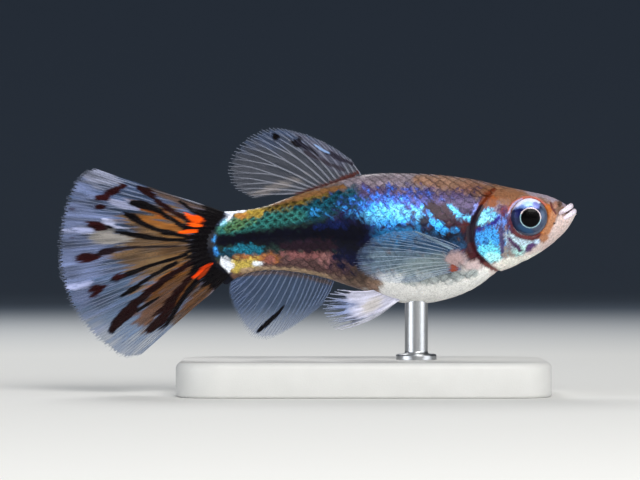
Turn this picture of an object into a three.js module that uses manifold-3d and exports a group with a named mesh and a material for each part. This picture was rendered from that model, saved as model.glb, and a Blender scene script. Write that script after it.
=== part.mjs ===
// A fancy guppy, life size, as a still model held over a flat base by one short rod.
// Millimetres. +X runs towards the snout, +Y to the fish's left side and +Z up.
// The origin is on the floor, under the middle of the whole model.
import * as THREE from "three";
import { mergeVertices } from "three/addons/utils/BufferGeometryUtils.js";
import Module from "manifold-3d";

const wasm = await Module();
wasm.setup();

// Driving dimensions of the fish.
const totalLength = 45.0; // lower lip to the hind margin of the tail fin
const gap = 0.3; // between pieces that touch
const snoutX = totalLength / 2;
const axisHeight = 13.6; // of the line through the middle of the body, above the floor
const sectionSides = 32; // facets round the body
const stationsPerSpan = 4; // rings between two stations of the body
const bluntSnout = 0.12; // how far the tip of the snout stands ahead of its first ring
const bluntStem = 0.1; // and the end of the tail stem behind its last

// Each station of the body: how far behind the lip it is, how far its back and belly
// lie above the axis, half its width, the level of its widest place, and how square
// its upper half is (2 is an ellipse).
const stations = [
  { behind: 0.13, back: 2.05, belly: 1.9, half: 0.35, widest: 1.98, crown: 2.2 },
  { behind: 0.7, back: 2.6, belly: 0.9, half: 1.15, widest: 1.8, crown: 2.3 },
  { behind: 1.82, back: 3.29, belly: -0.28, half: 1.7, widest: 1.65, crown: 2.6 },
  { behind: 4.15, back: 3.93, belly: -1.9, half: 2.3, widest: 1.45, crown: 2.8 },
  { behind: 7.1, back: 4.52, belly: -3.15, half: 2.8, widest: 0.7, crown: 2.6 },
  { behind: 8.82, back: 4.92, belly: -4.37, half: 3.05, widest: 0.2, crown: 2.3 },
  { behind: 10.99, back: 5.22, belly: -5.28, half: 3.2, widest: -0.4, crown: 2.1 },
  { behind: 14.88, back: 5.47, belly: -5.69, half: 3.15, widest: -0.9, crown: 2.0 },
  { behind: 18.61, back: 5.3, belly: -4.56, half: 2.65, widest: -0.4, crown: 2.0 },
  { behind: 22.67, back: 4.11, belly: -3.27, half: 1.9, widest: 0.0, crown: 2.0 },
  { behind: 27.0, back: 2.75, belly: -2.84, half: 1.25, widest: -0.1, crown: 2.1 },
  { behind: 30.46, back: 2.26, belly: -3.38, half: 0.8, widest: -0.5, crown: 2.2 },
  { behind: 32.6, back: 2.2, belly: -4.1, half: 0.6, widest: -0.8, crown: 2.2 },
];

// The end of the tail stem is a parabola, seen from the side.
const stemEnd = { behind: 31.9, level: -0.6, bend: 0.19, top: 4, bottom: -5, step: 0.75 };

// Eyes.
const eye = { behind: 4.15, up: 1.69, radius: 1.6, depth: 0.95, bulge: 0.32 };
const eyeFacets = { round: 20, deep: 12 };
const orbitRim = { thickness: 0.17, sunk: 0.02, spread: 0.6, places: 20, steps: 28, sides: 6 };

// Mouth: each lip is a band bent round the front of the jaw, seen edge-on from the side.
const lipRadius = 0.22;
const lipPlaces = 8;
const tubeFacets = 4;
const upperLip = { front: [0.5, 2.68], corner: [1.66, 1.98], half: 1.45 };
const lowerLip = { front: [0.24, 2.22], corner: [1.25, 1.56], half: 1.35 };
const mouthCut = [[-0.6, 2.86], [0.83, 2.08], [1.78, 1.55], [2.45, 0.1], [4.3, -3.0]];
const nostril = { behind: 1.68, up: 2.9, radius: 0.16, round: 8, deep: 6 };

// The gill opening, from the nape down to the throat, and the front edge of its cover.
const gillSlit = [
  [6.6, 5.6], [7.2, 4.05], [8.15, 3.2], [8.95, 1.9], [9.26, 0.6],
  [9.15, -0.7], [8.55, -1.65], [7.7, -2.45], [6.65, -3.0], [6.0, -3.9],
];
const slitSteps = 24;
const throatBehind = 4; // where the cut ahead of the gill opening leaves the throat
const coverFront = [[6.7, -2.55], [6.15, -1.6], [6.05, 0.0], [6.4, 1.6], [6.95, 2.95]];
const cover = { thickness: 0.55, raised: 0.18, slack: 0.02, inner: 0.6, steps: 10 };
const coverRear = [5, 22]; // the steps of the slit that its hind edge follows

// Where the trunk ends and the tail stem begins: behind the dorsal fin, ahead of the anal fin.
const ventCut = [[25.6, 5.0], [20.7, -6.0]];

// Thickness of the fins' membrane, and how much thicker it is along a ray.
const membrane = { root: 0.6, tip: 0.36 };
const ridge = { root: 0.24, tip: 0.14 };
// Columns from one ray to the next, as shares of the way: its crest, then the web.
const flatWeb = [0, 0.3, 0.7];
const narrowWeb = [0, 0.5];
const notch = 0.03; // share of a ray by which the membrane stops short of its tip
const finRoot = 0.9; // how deep a root starts inside the body, before it is cut clear
const rowCrowding = 0.9; // below 1, a fin's rows stand wider apart near its root
const swellReach = 0.22; // share of a ray over which a swollen root thins out
const swellFall = 1.5;

// Median fins. root runs along the body from the first ray to the last, tips along the
// fin's margin, and bow is how far a ray's middle stands off its chord.
const dorsal = {
  root: [[18.75, 5.2], [21.2, 4.55], [24.0, 3.65]],
  tips: [
    [19.5, 6.7], [21.6, 8.1], [24.2, 9.15], [26.7, 9.45], [28.7, 8.5],
    [29.9, 7.2], [30.25, 5.8], [29.7, 4.3], [28.0, 3.3],
  ],
  rays: 9,
  web: flatWeb,
  rows: 6,
  bow: 0.05,
};
const anal = {
  root: [[21.1, -3.75], [24.6, -2.95], [29.2, -3.15]],
  tips: [
    [22.1, -5.95], [23.7, -7.2], [25.3, -8.25], [26.6, -8.85], [27.9, -8.8],
    [28.9, -7.8], [29.7, -6.25], [30.15, -4.75], [29.95, -3.7],
  ],
  rays: 11,
  web: flatWeb,
  rows: 6,
  bow: -0.04,
};
const caudal = {
  root: [[30.8, 2.2], [31.9, 0.9], [31.95, -1.5], [30.1, -3.4]],
  tips: [
    [41.9, 6.0], [43.1, 5.4], [44.1, 3.8], [44.7, 1.8], [44.98, -0.4], [44.9, -2.6],
    [44.3, -4.9], [43.1, -7.2], [41.2, -9.3], [39.3, -10.5], [37.9, -10.35],
  ],
  rays: 17,
  web: flatWeb,
  rows: 8,
  bow: 0.0,
  rootThickness: 1.05,
  wave: 0.45, // how far its margin sways off the middle plane
  waveTurns: 1.2,
  waveStart: 0.6,
};

// Paired fins, right side, seen from the side. out is how far the root and the tips
// stand off the middle plane.
const pectoral = {
  root: [[10.15, -1.35], [10.45, -2.0], [10.75, -2.75]],
  tips: [
    [14.3, 0.55], [16.6, 0.35], [18.4, -0.45], [19.35, -1.6], [19.2, -2.7],
    [17.9, -3.6], [16.0, -3.95], [14.0, -3.85],
  ],
  rays: 10,
  web: narrowWeb,
  narrowRoot: true, // its rays run parallel under the skin, so that they don't meet there
  rows: 4,
  bow: 0.03,
  rootOut: 2.9,
  tipOut: 5.6,
};
const pelvic = {
  root: [[17.6, -4.45], [16.6, -4.95], [15.7, -5.35]],
  tips: [[20.6, -4.45], [21.5, -4.95], [22.0, -5.75], [21.9, -6.5], [21.4, -7.1], [20.7, -7.35]],
  rays: 6,
  web: narrowWeb,
  rows: 4,
  bow: -0.09,
  rootOut: 0.75,
  tipOut: 2.1,
};
const farPelvicDrop = 9; // degrees by which the left pelvic fin hangs lower than the right

// Display stand.
const base = { length: 32, width: 18, height: 3, corner: 4, chamfer: 0.5, centreX: 4, cornerSteps: 6 };
const rod = { x: 8.6, radius: 1.0, sides: 20 };

// Plain colours of the solids.
const finishes = {
  gillCover: { color: 0x58c4e8, roughness: 0.3, metalness: 0.5 },
  head: { color: 0x9a6b4c, roughness: 0.4, metalness: 0.1 },
  jaw: { color: 0xd9cfc9, roughness: 0.4, metalness: 0.05 },
  trunk: { color: 0x3a7fd0, roughness: 0.35, metalness: 0.3 },
  stem: { color: 0x2e8f7a, roughness: 0.35, metalness: 0.3 },
  eye: { color: 0x101018, roughness: 0.1, metalness: 0.0 },
  medianFin: { color: 0x8790a4, roughness: 0.5, metalness: 0.0 },
  tailFin: { color: 0xa9a3b5, roughness: 0.5, metalness: 0.0 },
  pectoral: { color: 0xb9c9d2, roughness: 0.5, metalness: 0.0 },
  pelvic: { color: 0xe4e4ea, roughness: 0.5, metalness: 0.0 },
  base: { color: 0xd8d8d6, roughness: 0.6, metalness: 0.0 },
  rod: { color: 0xb8babd, roughness: 0.3, metalness: 0.9 },
};

// Reaches of the cutting shapes, all well past the body.
const beyond = { out: 8, up: 12, ahead: -3 };
const scrap = 0.3; // volume under which a piece left by a cut is dropped

// Maps a place given as [behind the lip, above the axis] to the row's X and Z.
const xOf = (behind) => snoutX - behind;
const zOf = (up) => axisHeight + up;

// Smooth value through the stations at a distance behind the lip.
function stationValue(key, behind) {
  const last = stations.length - 1;
  const slope = (i) => {
    const a = Math.max(i - 1, 0);
    const b = Math.min(i + 1, last);
    const before = i > a ? stations[i].behind - stations[a].behind : 0;
    const after = b > i ? stations[b].behind - stations[i].behind : 0;
    const rise = (p, q) => (stations[q][key] - stations[p][key]) / (stations[q].behind - stations[p].behind);
    if (!before) return rise(i, b);
    if (!after) return rise(a, i);
    return (rise(a, i) * after + rise(i, b) * before) / (before + after);
  };
  let i = 0;
  while (i < last - 1 && stations[i + 1].behind < behind) i += 1;
  const span = stations[i + 1].behind - stations[i].behind;
  const t = THREE.MathUtils.clamp((behind - stations[i].behind) / span, 0, 1);
  const t2 = t * t;
  const t3 = t2 * t;
  return (
    (2 * t3 - 3 * t2 + 1) * stations[i][key] +
    (t3 - 2 * t2 + t) * span * slope(i) +
    (3 * t2 - 2 * t3) * stations[i + 1][key] +
    (t3 - t2) * span * slope(i + 1)
  );
}

// A point on the body's skin, swollen by grow. turn is 0 at the back and grows down
// the right side.
function skinPoint(behind, turn, grow) {
  const back = stationValue("back", behind) + grow;
  const belly = stationValue("belly", behind) - grow;
  const widest = stationValue("widest", behind);
  const half = stationValue("half", behind) + grow;
  const crown = stationValue("crown", behind);
  const power = Math.cos(turn) > 0 ? 2 / crown : 1;
  const side = Math.sign(Math.sin(turn)) * Math.abs(Math.sin(turn)) ** power;
  const rise = Math.cos(turn) > 0 ? Math.cos(turn) ** power * (back - widest) : Math.cos(turn) * (widest - belly);
  return new THREE.Vector3(xOf(behind), -half * side, zOf(widest + rise));
}

// Half the body's width at a level.
function halfWidthAt(behind, up) {
  const widest = stationValue("widest", behind);
  const half = stationValue("half", behind);
  const above = up > widest;
  const reach = above ? stationValue("back", behind) - widest : widest - stationValue("belly", behind);
  const share = Math.min(Math.abs(up - widest) / reach, 1);
  const crown = above ? stationValue("crown", behind) : 2;
  return half * (1 - share ** crown) ** (1 / crown);
}

// A closed geometry as a solid whose faces point outwards.
function solidOf(geometry) {
  const bare = geometry.index ? geometry.toNonIndexed() : geometry.clone();
  const only = new THREE.BufferGeometry();
  only.setAttribute("position", bare.getAttribute("position"));
  const merged = mergeVertices(only, 1e-4);
  const vertProperties = merged.attributes.position.array;
  const triVerts = new Uint32Array(merged.index.array);
  const made = new wasm.Manifold(new wasm.Mesh({ numProp: 3, vertProperties, triVerts }));
  if (made.volume() > 0) return made;
  for (let i = 0; i < triVerts.length; i += 3) {
    [triVerts[i + 1], triVerts[i + 2]] = [triVerts[i + 2], triVerts[i + 1]];
  }
  return new wasm.Manifold(new wasm.Mesh({ numProp: 3, vertProperties, triVerts }));
}

// A solid as a flat-shaded geometry.
function geometryOf(solid) {
  const mesh = solid.getMesh();
  const made = new THREE.BufferGeometry();
  made.setAttribute("position", new THREE.BufferAttribute(mesh.vertProperties, 3));
  made.setIndex(new THREE.BufferAttribute(mesh.triVerts, 1));
  const flat = made.toNonIndexed();
  flat.computeVertexNormals();
  return flat;
}

// The largest body of a solid.
function largest(solid) {
  return solid.decompose().reduce((a, b) => (a.volume() > b.volume() ? a : b));
}

function middleX(solid) {
  const box = solid.boundingBox();
  return (box.min[0] + box.max[0]) / 2;
}

// The body as one closed loft, swollen by grow.
function bodyLoft(grow) {
  const rings = [];
  for (let i = 0; i < stations.length - 1; i += 1) {
    for (let j = 0; j < stationsPerSpan; j += 1) {
      const share = j / stationsPerSpan;
      rings.push(stations[i].behind * (1 - share) + stations[i + 1].behind * share);
    }
  }
  rings.push(stations[stations.length - 1].behind);
  const positions = [];
  const indices = [];
  for (const behind of rings) {
    for (let k = 0; k < sectionSides; k += 1) {
      positions.push(...skinPoint(behind, (2 * Math.PI * k) / sectionSides, grow).toArray());
    }
  }
  const ends = [rings[0] - bluntSnout - grow, rings[rings.length - 1] + bluntStem + grow];
  const levels = [stations[0].widest, stations[stations.length - 1].widest];
  ends.forEach((behind, i) => positions.push(xOf(behind), 0, zOf(levels[i])));
  const frontPole = rings.length * sectionSides;
  for (let k = 0; k < sectionSides; k += 1) {
    const next = (k + 1) % sectionSides;
    for (let i = 0; i < rings.length - 1; i += 1) {
      const a = i * sectionSides + k;
      const b = i * sectionSides + next;
      indices.push(a, b, b + sectionSides, a, b + sectionSides, a + sectionSides);
    }
    const tail = (rings.length - 1) * sectionSides;
    indices.push(frontPole, next, k);
    indices.push(frontPole + 1, tail + k, tail + next);
  }
  const loft = new THREE.BufferGeometry();
  loft.setAttribute("position", new THREE.BufferAttribute(new Float32Array(positions), 3));
  loft.setIndex(indices);
  return solidOf(loft);
}

// A prism whose side view is a closed outline of [behind, up] places, from y0 to y1.
function sidePrism(outline, y0, y1) {
  const shape = new THREE.Shape(outline.map(([behind, up]) => new THREE.Vector2(xOf(behind), zOf(up))));
  const prism = new THREE.ExtrudeGeometry(shape, { depth: y1 - y0, bevelEnabled: false });
  prism.rotateX(Math.PI / 2);
  prism.translate(0, y1, 0);
  return solidOf(prism);
}

// A line of places made smooth.
function smoothLine(places, steps) {
  const curve = new THREE.CatmullRomCurve3(
    places.map(([behind, up]) => new THREE.Vector3(behind, up, 0)),
    false,
    "centripetal",
  );
  return curve.getPoints(steps).map((p) => [p.x, p.y]);
}

// A line of places moved sideways by a distance.
function besideLine(line, distance) {
  return line.map(([x, z], i) => {
    const [ax, az] = line[Math.max(i - 1, 0)];
    const [bx, bz] = line[Math.min(i + 1, line.length - 1)];
    const length = Math.hypot(bx - ax, bz - az);
    return [x - ((bz - az) / length) * distance, z + ((bx - ax) / length) * distance];
  });
}

// A blade of the gap's thickness along a line, right through the body.
function blade(line) {
  const outline = [...besideLine(line, gap / 2), ...besideLine(line, -gap / 2).reverse()];
  return sidePrism(outline, -beyond.out, beyond.out);
}

// A tube of few sides along an open curve.
function tube(points, radius, steps) {
  const extrudePath = new THREE.CatmullRomCurve3(points, false, "centripetal");
  const circle = new THREE.Shape();
  circle.absarc(0, 0, radius, 0, 2 * Math.PI);
  const settings = { steps, curveSegments: tubeFacets, bevelEnabled: false, extrudePath };
  return solidOf(new THREE.ExtrudeGeometry(circle, settings));
}

// A tube of few sides that closes on itself.
function ringTube(points, radius, steps, tubeSides) {
  const curve = new THREE.CatmullRomCurve3(points, true, "centripetal");
  const { normals, binormals } = curve.computeFrenetFrames(steps, true);
  const positions = [];
  const indices = [];
  for (let i = 0; i < steps; i += 1) {
    const centre = curve.getPointAt(i / steps);
    for (let k = 0; k < tubeSides; k += 1) {
      const turn = (2 * Math.PI * k) / tubeSides;
      const place = centre.clone().addScaledVector(normals[i], radius * Math.cos(turn));
      positions.push(...place.addScaledVector(binormals[i], radius * Math.sin(turn)).toArray());
      const a = i * tubeSides + k;
      const b = i * tubeSides + ((k + 1) % tubeSides);
      const c = ((i + 1) % steps) * tubeSides + ((k + 1) % tubeSides);
      const d = ((i + 1) % steps) * tubeSides + k;
      indices.push(a, b, c, a, c, d);
    }
  }
  const ring = new THREE.BufferGeometry();
  ring.setAttribute("position", new THREE.BufferAttribute(new Float32Array(positions), 3));
  ring.setIndex(indices);
  return solidOf(ring);
}

// A lip: a band from one corner of the mouth round the front to the other.
function lip(form) {
  const points = [];
  for (let i = 0; i <= lipPlaces; i += 1) {
    const turn = (Math.PI * i) / lipPlaces;
    const share = Math.sin(turn);
    points.push(
      new THREE.Vector3(
        xOf(form.corner[0] + (form.front[0] - form.corner[0]) * share),
        form.half * Math.cos(turn),
        zOf(form.corner[1] + (form.front[1] - form.corner[1]) * share),
      ),
    );
  }
  return tube(points, lipRadius, 2 * lipPlaces);
}

// An eyeball, swollen by grow, on the right side (-1) or the left (1).
function eyeball(side, grow) {
  const out = halfWidthAt(eye.behind, eye.up) + eye.bulge - eye.depth;
  const ball = new THREE.SphereGeometry(1, eyeFacets.round, eyeFacets.deep);
  ball.rotateX(Math.PI / 2);
  ball.scale(eye.radius + grow, eye.depth + grow, eye.radius + grow);
  ball.translate(xOf(eye.behind), side * out, zOf(eye.up));
  return solidOf(ball);
}

// The raised rim of skin round an eye.
function orbit(side) {
  const points = [];
  const radius = eye.radius + gap + orbitRim.thickness * orbitRim.spread;
  for (let i = 0; i < orbitRim.places; i += 1) {
    const turn = (2 * Math.PI * i) / orbitRim.places;
    const behind = eye.behind + radius * Math.cos(turn);
    const up = eye.up + radius * Math.sin(turn);
    points.push(new THREE.Vector3(xOf(behind), side * (halfWidthAt(behind, up) - orbitRim.sunk), zOf(up)));
  }
  return ringTube(points, orbitRim.thickness, orbitRim.steps, orbitRim.sides);
}

// A fin as one closed sheet with a ridge along each ray. It returns a solid whose root
// still reaches into the body.
function fin(form, middleY) {
  const { rows, web } = form;
  const along = (places) =>
    new THREE.CatmullRomCurve3(places.map(([b, u]) => new THREE.Vector3(b, u, 0)), false, "centripetal");
  const roots = along(form.root);
  const tips = along(form.tips);
  const columns = (form.rays - 1) * web.length + 1;
  const common = tips.getPointAt(0.5).sub(roots.getPointAt(0.5)).setLength(-finRoot);
  const places = [];
  for (let c = 0; c < columns; c += 1) {
    const onRay = c % web.length === 0;
    const t = (Math.floor(c / web.length) + web[c % web.length]) / (form.rays - 1);
    const root = roots.getPointAt(t);
    const tip = tips.getPointAt(t);
    const chord = tip.clone().sub(root);
    const inward = form.narrowRoot ? common : chord.clone().setLength(-finRoot);
    const across = new THREE.Vector3(-chord.y, chord.x, 0);
    const reach = onRay ? 1 : 1 - notch;
    for (let r = 0; r <= rows; r += 1) {
      const s = (r / rows) ** rowCrowding * reach;
      const place = root.clone().addScaledVector(inward, 1 - s).addScaledVector(chord, s);
      place.addScaledVector(across, form.bow * Math.sin(Math.PI * s));
      const thin = THREE.MathUtils.lerp(membrane.root, membrane.tip, s);
      const rise = onRay ? THREE.MathUtils.lerp(ridge.root, ridge.tip, s) : 0;
      const rootThickness = form.rootThickness ? Math.max(0, form.rootThickness - membrane.root) : 0;
      const swell = rootThickness * Math.max(0, 1 - s / swellReach) ** swellFall;
      places.push({
        middle: new THREE.Vector3(xOf(place.x), middleY(s, t, place), zOf(place.y)),
        half: (thin + rise + swell) / 2,
      });
    }
  }
  const at = (c, r) => places[c * (rows + 1) + r];
  const positions = [];
  for (const face of [1, -1]) {
    for (let c = 0; c < columns; c += 1) {
      for (let r = 0; r <= rows; r += 1) {
        const { middle, half } = at(c, r);
        const du = at(Math.min(c + 1, columns - 1), r).middle.clone().sub(at(Math.max(c - 1, 0), r).middle);
        const dv = at(c, Math.min(r + 1, rows)).middle.clone().sub(at(c, Math.max(r - 1, 0)).middle);
        const normal = du.cross(dv).normalize();
        if (normal.y < 0) normal.negate();
        positions.push(...middle.clone().addScaledVector(normal, face * half).toArray());
      }
    }
  }
  const stride = rows + 1;
  const back = columns * stride;
  const indices = [];
  const quad = (a, b, c, d) => indices.push(a, b, c, a, c, d);
  for (let c = 0; c < columns - 1; c += 1) {
    for (let r = 0; r < rows; r += 1) {
      const a = c * stride + r;
      const b = a + stride;
      indices.push(a, b, b + 1, a, b + 1, a + 1);
      indices.push(back + a, back + b + 1, back + b, back + a, back + a + 1, back + b + 1);
    }
    const low = c * stride;
    const high = low + rows;
    quad(low, back + low, back + low + stride, low + stride);
    quad(high, high + stride, back + high + stride, back + high);
  }
  for (let r = 0; r < rows; r += 1) {
    const end = (columns - 1) * stride + r;
    quad(r, r + 1, back + r + 1, back + r);
    quad(end, back + end, back + end + 1, end + 1);
  }
  const sheet = new THREE.BufferGeometry();
  sheet.setAttribute("position", new THREE.BufferAttribute(new Float32Array(positions), 3));
  sheet.setIndex(indices);
  return solidOf(sheet);
}

// The body, cut into head, lower jaw, trunk and tail stem.
const body = bodyLoft(0);
const aroundBody = bodyLoft(gap);
const slit = smoothLine(gillSlit, slitSteps);
const stemLine = [];
for (let up = stemEnd.top; up >= stemEnd.bottom; up -= stemEnd.step) {
  stemLine.push([stemEnd.behind - stemEnd.bend * (up - stemEnd.level) ** 2, up]);
}
const aheadOfStemEnd = (shift) =>
  sidePrism(
    [
      ...besideLine(stemLine, shift),
      [beyond.ahead, -beyond.up],
      [beyond.ahead, beyond.up],
      [stemLine[0][0], beyond.up],
    ],
    -beyond.out,
    beyond.out,
  );
const aheadOfSlit = sidePrism(
  [
    ...slit,
    [throatBehind, -beyond.up],
    [beyond.ahead, -beyond.up],
    [beyond.ahead, beyond.up],
    [gillSlit[0][0], beyond.up],
  ],
  -beyond.out,
  beyond.out,
);

const bodyPieces = body
  .intersect(aheadOfStemEnd(0))
  .subtract(blade(slit))
  .subtract(blade(ventCut))
  .subtract(blade(mouthCut))
  .decompose()
  .sort((a, b) => middleX(b) - middleX(a));

const kept = bodyPieces.filter((piece) => piece.volume() > scrap);
const [jawPiece, headPiece, trunkPiece, stemPiece] = kept;

const sides = { right: -1, left: 1 };
const parts = [];
const add = (name, solid, finish) => parts.push({ name, solid, finish });

// Gill covers: plates let into the cheeks.
const coverOutline = (grow) => {
  const spill = grow > 0 ? 2 * gap + cover.slack : 0;
  const rear = besideLine(slit.slice(...coverRear), spill - gap / 2 - cover.slack);
  const front = besideLine(smoothLine(coverFront, cover.steps), grow);
  return [...rear, ...front];
};
const sideRegion = (side, outline) =>
  side < 0
    ? sidePrism(outline, -beyond.out, -cover.inner)
    : sidePrism(outline, cover.inner, beyond.out);

let head = headPiece;
for (const side of Object.values(sides)) {
  const socket = eyeball(side, gap);
  const pit = new THREE.SphereGeometry(nostril.radius, nostril.round, nostril.deep);
  pit.translate(xOf(nostril.behind), side * halfWidthAt(nostril.behind, nostril.up), zOf(nostril.up));
  head = head.add(orbit(side)).subtract(socket).subtract(solidOf(pit));
}
const coverShell = bodyLoft(cover.raised).intersect(aheadOfSlit);
const underCover = bodyLoft(cover.raised - cover.thickness);
const pocketFloor = bodyLoft(cover.raised - cover.thickness - gap);
for (const [sideName, side] of Object.entries(sides)) {
  const plate = coverShell.intersect(sideRegion(side, coverOutline(0))).subtract(underCover);
  add("gill_cover_" + sideName, largest(plate), finishes.gillCover);
  head = head.subtract(sideRegion(side, coverOutline(gap)).subtract(pocketFloor));
}
head = largest(head.add(lip(upperLip).subtract(blade(mouthCut))));
const jaw = largest(jawPiece.add(lip(lowerLip).subtract(blade(mouthCut))).subtract(blade(mouthCut)));

add("head", head, finishes.head);
add("lower_jaw", jaw, finishes.jaw);
add("trunk", trunkPiece, finishes.trunk);
add("tail_stem", stemPiece, finishes.stem);
for (const [sideName, side] of Object.entries(sides)) {
  add("eye_" + sideName, eyeball(side, 0), finishes.eye);
}

// Fins, each cut clear of the body that it grows from.
const clearOfBody = (sheet) => largest(sheet.subtract(aroundBody.intersect(aheadOfStemEnd(0))));
add("dorsal_fin", clearOfBody(fin(dorsal, () => 0)), finishes.medianFin);
add("anal_fin", clearOfBody(fin(anal, () => 0)), finishes.medianFin);
const caudalSheet = fin(
  caudal,
  (s, t) => caudal.wave * s * s * Math.sin(2 * Math.PI * caudal.waveTurns * t + caudal.waveStart),
);
add(
  "caudal_fin",
  largest(caudalSheet.subtract(aheadOfStemEnd(-gap)).subtract(aroundBody.intersect(aheadOfStemEnd(0)))),
  finishes.tailFin,
);
for (const [sideName, side] of Object.entries(sides)) {
  const spread = (form) => (s) => side * THREE.MathUtils.lerp(form.rootOut, form.tipOut, s);
  add("pectoral_fin_" + sideName, clearOfBody(fin(pectoral, spread(pectoral))), finishes.pectoral);
  const drop = THREE.MathUtils.degToRad(side > 0 ? farPelvicDrop : 0);
  const [hingeBehind, hingeUp] = pelvic.root[2];
  const swing = ([behind, up]) => [
    hingeBehind + (behind - hingeBehind) * Math.cos(drop) + (up - hingeUp) * Math.sin(drop),
    hingeUp + (up - hingeUp) * Math.cos(drop) - (behind - hingeBehind) * Math.sin(drop),
  ];
  const hung = { ...pelvic, tips: pelvic.tips.map(swing) };
  add("pelvic_fin_" + sideName, clearOfBody(fin(hung, spread(pelvic))), finishes.pelvic);
}

// The stand: a flat base with rounded corners and a rod up to the belly.
function standBase() {
  const { length, width, height, corner, chamfer } = base;
  const shape = new THREE.Shape();
  const x = length / 2 - chamfer;
  const y = width / 2 - chamfer;
  const r = corner - chamfer;
  shape.absarc(x - r, y - r, r, 0, Math.PI / 2);
  shape.absarc(-x + r, y - r, r, Math.PI / 2, Math.PI);
  shape.absarc(-x + r, -y + r, r, Math.PI, 1.5 * Math.PI);
  shape.absarc(x - r, -y + r, r, 1.5 * Math.PI, 2 * Math.PI);
  const plate = new THREE.ExtrudeGeometry(shape, {
    depth: height - 2 * chamfer,
    bevelEnabled: true,
    bevelThickness: chamfer,
    bevelSize: chamfer,
    bevelSegments: 1,
    curveSegments: base.cornerSteps,
  });
  plate.translate(base.centreX, 0, chamfer);
  return solidOf(plate);
}

function standRod() {
  const post = new THREE.CylinderGeometry(rod.radius, rod.radius, axisHeight - base.height - gap, rod.sides);
  post.rotateX(Math.PI / 2);
  post.translate(rod.x, 0, (axisHeight + base.height + gap) / 2);
  return largest(solidOf(post).subtract(aroundBody));
}

add("stand_base", standBase(), finishes.base);
add("stand_rod", standRod(), finishes.rod);

const guppy = new THREE.Group();
for (const { name, solid, finish } of parts) {
  const mesh = new THREE.Mesh(geometryOf(solid), new THREE.MeshStandardMaterial(finish));
  mesh.name = name;
  guppy.add(mesh);
}
export default guppy;
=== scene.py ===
"""A fancy guppy, life size, held over a flat base by one short rod: the looks of the model.

Lengths are in millimetres in the fish's own terms until a mesh is made. behind is the distance
from the lower lip towards the tail, out is the distance from the middle plane towards the
fish's right side, and up is the height above the line through the middle of the body.
Markings are placed in the photograph's 640 by 480 frame, which sees the right side square on.
"""
from __future__ import annotations
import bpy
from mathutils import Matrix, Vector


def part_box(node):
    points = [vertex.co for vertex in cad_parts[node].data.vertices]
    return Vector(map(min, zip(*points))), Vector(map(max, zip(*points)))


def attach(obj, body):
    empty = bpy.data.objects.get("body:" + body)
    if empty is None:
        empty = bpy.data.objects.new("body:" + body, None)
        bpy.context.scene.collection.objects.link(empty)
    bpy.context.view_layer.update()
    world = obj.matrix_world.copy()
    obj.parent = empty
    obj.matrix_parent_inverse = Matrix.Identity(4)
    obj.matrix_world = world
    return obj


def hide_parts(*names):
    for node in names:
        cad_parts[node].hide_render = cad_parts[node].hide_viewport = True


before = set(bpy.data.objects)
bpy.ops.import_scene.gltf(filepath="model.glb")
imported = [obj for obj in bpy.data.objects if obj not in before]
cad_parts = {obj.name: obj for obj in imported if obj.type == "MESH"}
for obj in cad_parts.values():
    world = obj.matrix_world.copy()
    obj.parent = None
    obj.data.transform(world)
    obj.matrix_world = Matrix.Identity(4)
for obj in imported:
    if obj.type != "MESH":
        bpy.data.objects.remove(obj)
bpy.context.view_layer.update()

import logging
import math
from dataclasses import dataclass, replace
from enum import Enum
from typing import Sequence

import bmesh
import bpy
import numpy as np
from bpy.types import Material, Mesh, Node, NodeSocket, NodeTree, Object
from mathutils import Vector

log = logging.getLogger("guppy")

Array = np.ndarray
Rgb = tuple[float, float, float]
Place = tuple[float, float]
Face = tuple[int, ...]

MM = 0.001
TURN = 2 * math.pi
TINY = 1e-15

# The lower lip and the body's axis, in the row's frame and in the photograph
SNOUT_X = 22.5
AXIS_HEIGHT = 13.6
LIP_COLUMN = 577.0
AXIS_ROW = 237.0
PIXEL = 45.0 / 520.0

BODY = "root"
BAKE_MAP = "OFBake"

# How gritty a tone is for each share of its rim
GRIT = 1.8

# Attribute types and fields by the number of values at a corner
FIELDS = {1: ("FLOAT", "value"), 3: ("FLOAT_VECTOR", "vector"), 4: ("FLOAT_COLOR", "color")}


class Side(Enum):
    """The two sides of the fish, as the sign of out."""

    RIGHT = 1
    LEFT = -1


def linear(tint: Rgb) -> Array:
    """Turns a display colour into a linear one."""
    c = np.asarray(tint, float)
    return np.where(c <= 0.04045, c / 12.92, ((c + 0.055) / 1.055) ** 2.4)


def smoothstep(low: float, high: float, x: Array) -> Array:
    """Rises smoothly from 0 at low to 1 at high."""
    t = np.clip((np.asarray(x, float) - low) / (high - low), 0, 1)
    return t * t * (3 - 2 * t)


def between(ends: Place, share: Array) -> Array:
    """Runs from the first end to the second as the share goes from 0 to 1."""
    return ends[0] + (ends[1] - ends[0]) * share


def unit(vectors: Array) -> Array:
    """Scales vectors on the last axis to a length of 1."""
    return vectors / (np.linalg.norm(vectors, axis=-1, keepdims=True) + TINY)


def hermite(t: Array, start: Array, end: Array, leave: Array, arrive: Array) -> Array:
    """Blends two values with given slopes at both.

    Args:
        t: Shares of the way from start to end.
        start: The value at 0.
        end: The value at 1.
        leave: The slope at 0.
        arrive: The slope at 1.

    Returns:
        The blended values.
    """
    return (
        (2 * t**3 - 3 * t**2 + 1) * start
        + (t**3 - 2 * t**2 + t) * leave
        + (3 * t**2 - 2 * t**3) * end
        + (t**3 - t**2) * arrive
    )


def to_row(behind: Array, out: Array, up: Array) -> Array:
    """Maps places on the fish to metres in the row's frame.

    Args:
        behind: Distances behind the lower lip.
        out: Distances to the right of the middle plane.
        up: Heights above the body's axis.

    Returns:
        An array of the same shape with one more axis of X, Y and Z.
    """
    behind, out, up = np.broadcast_arrays(behind, out, up)
    return np.stack([SNOUT_X - behind, -out, AXIS_HEIGHT + up], axis=-1) * MM


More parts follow.
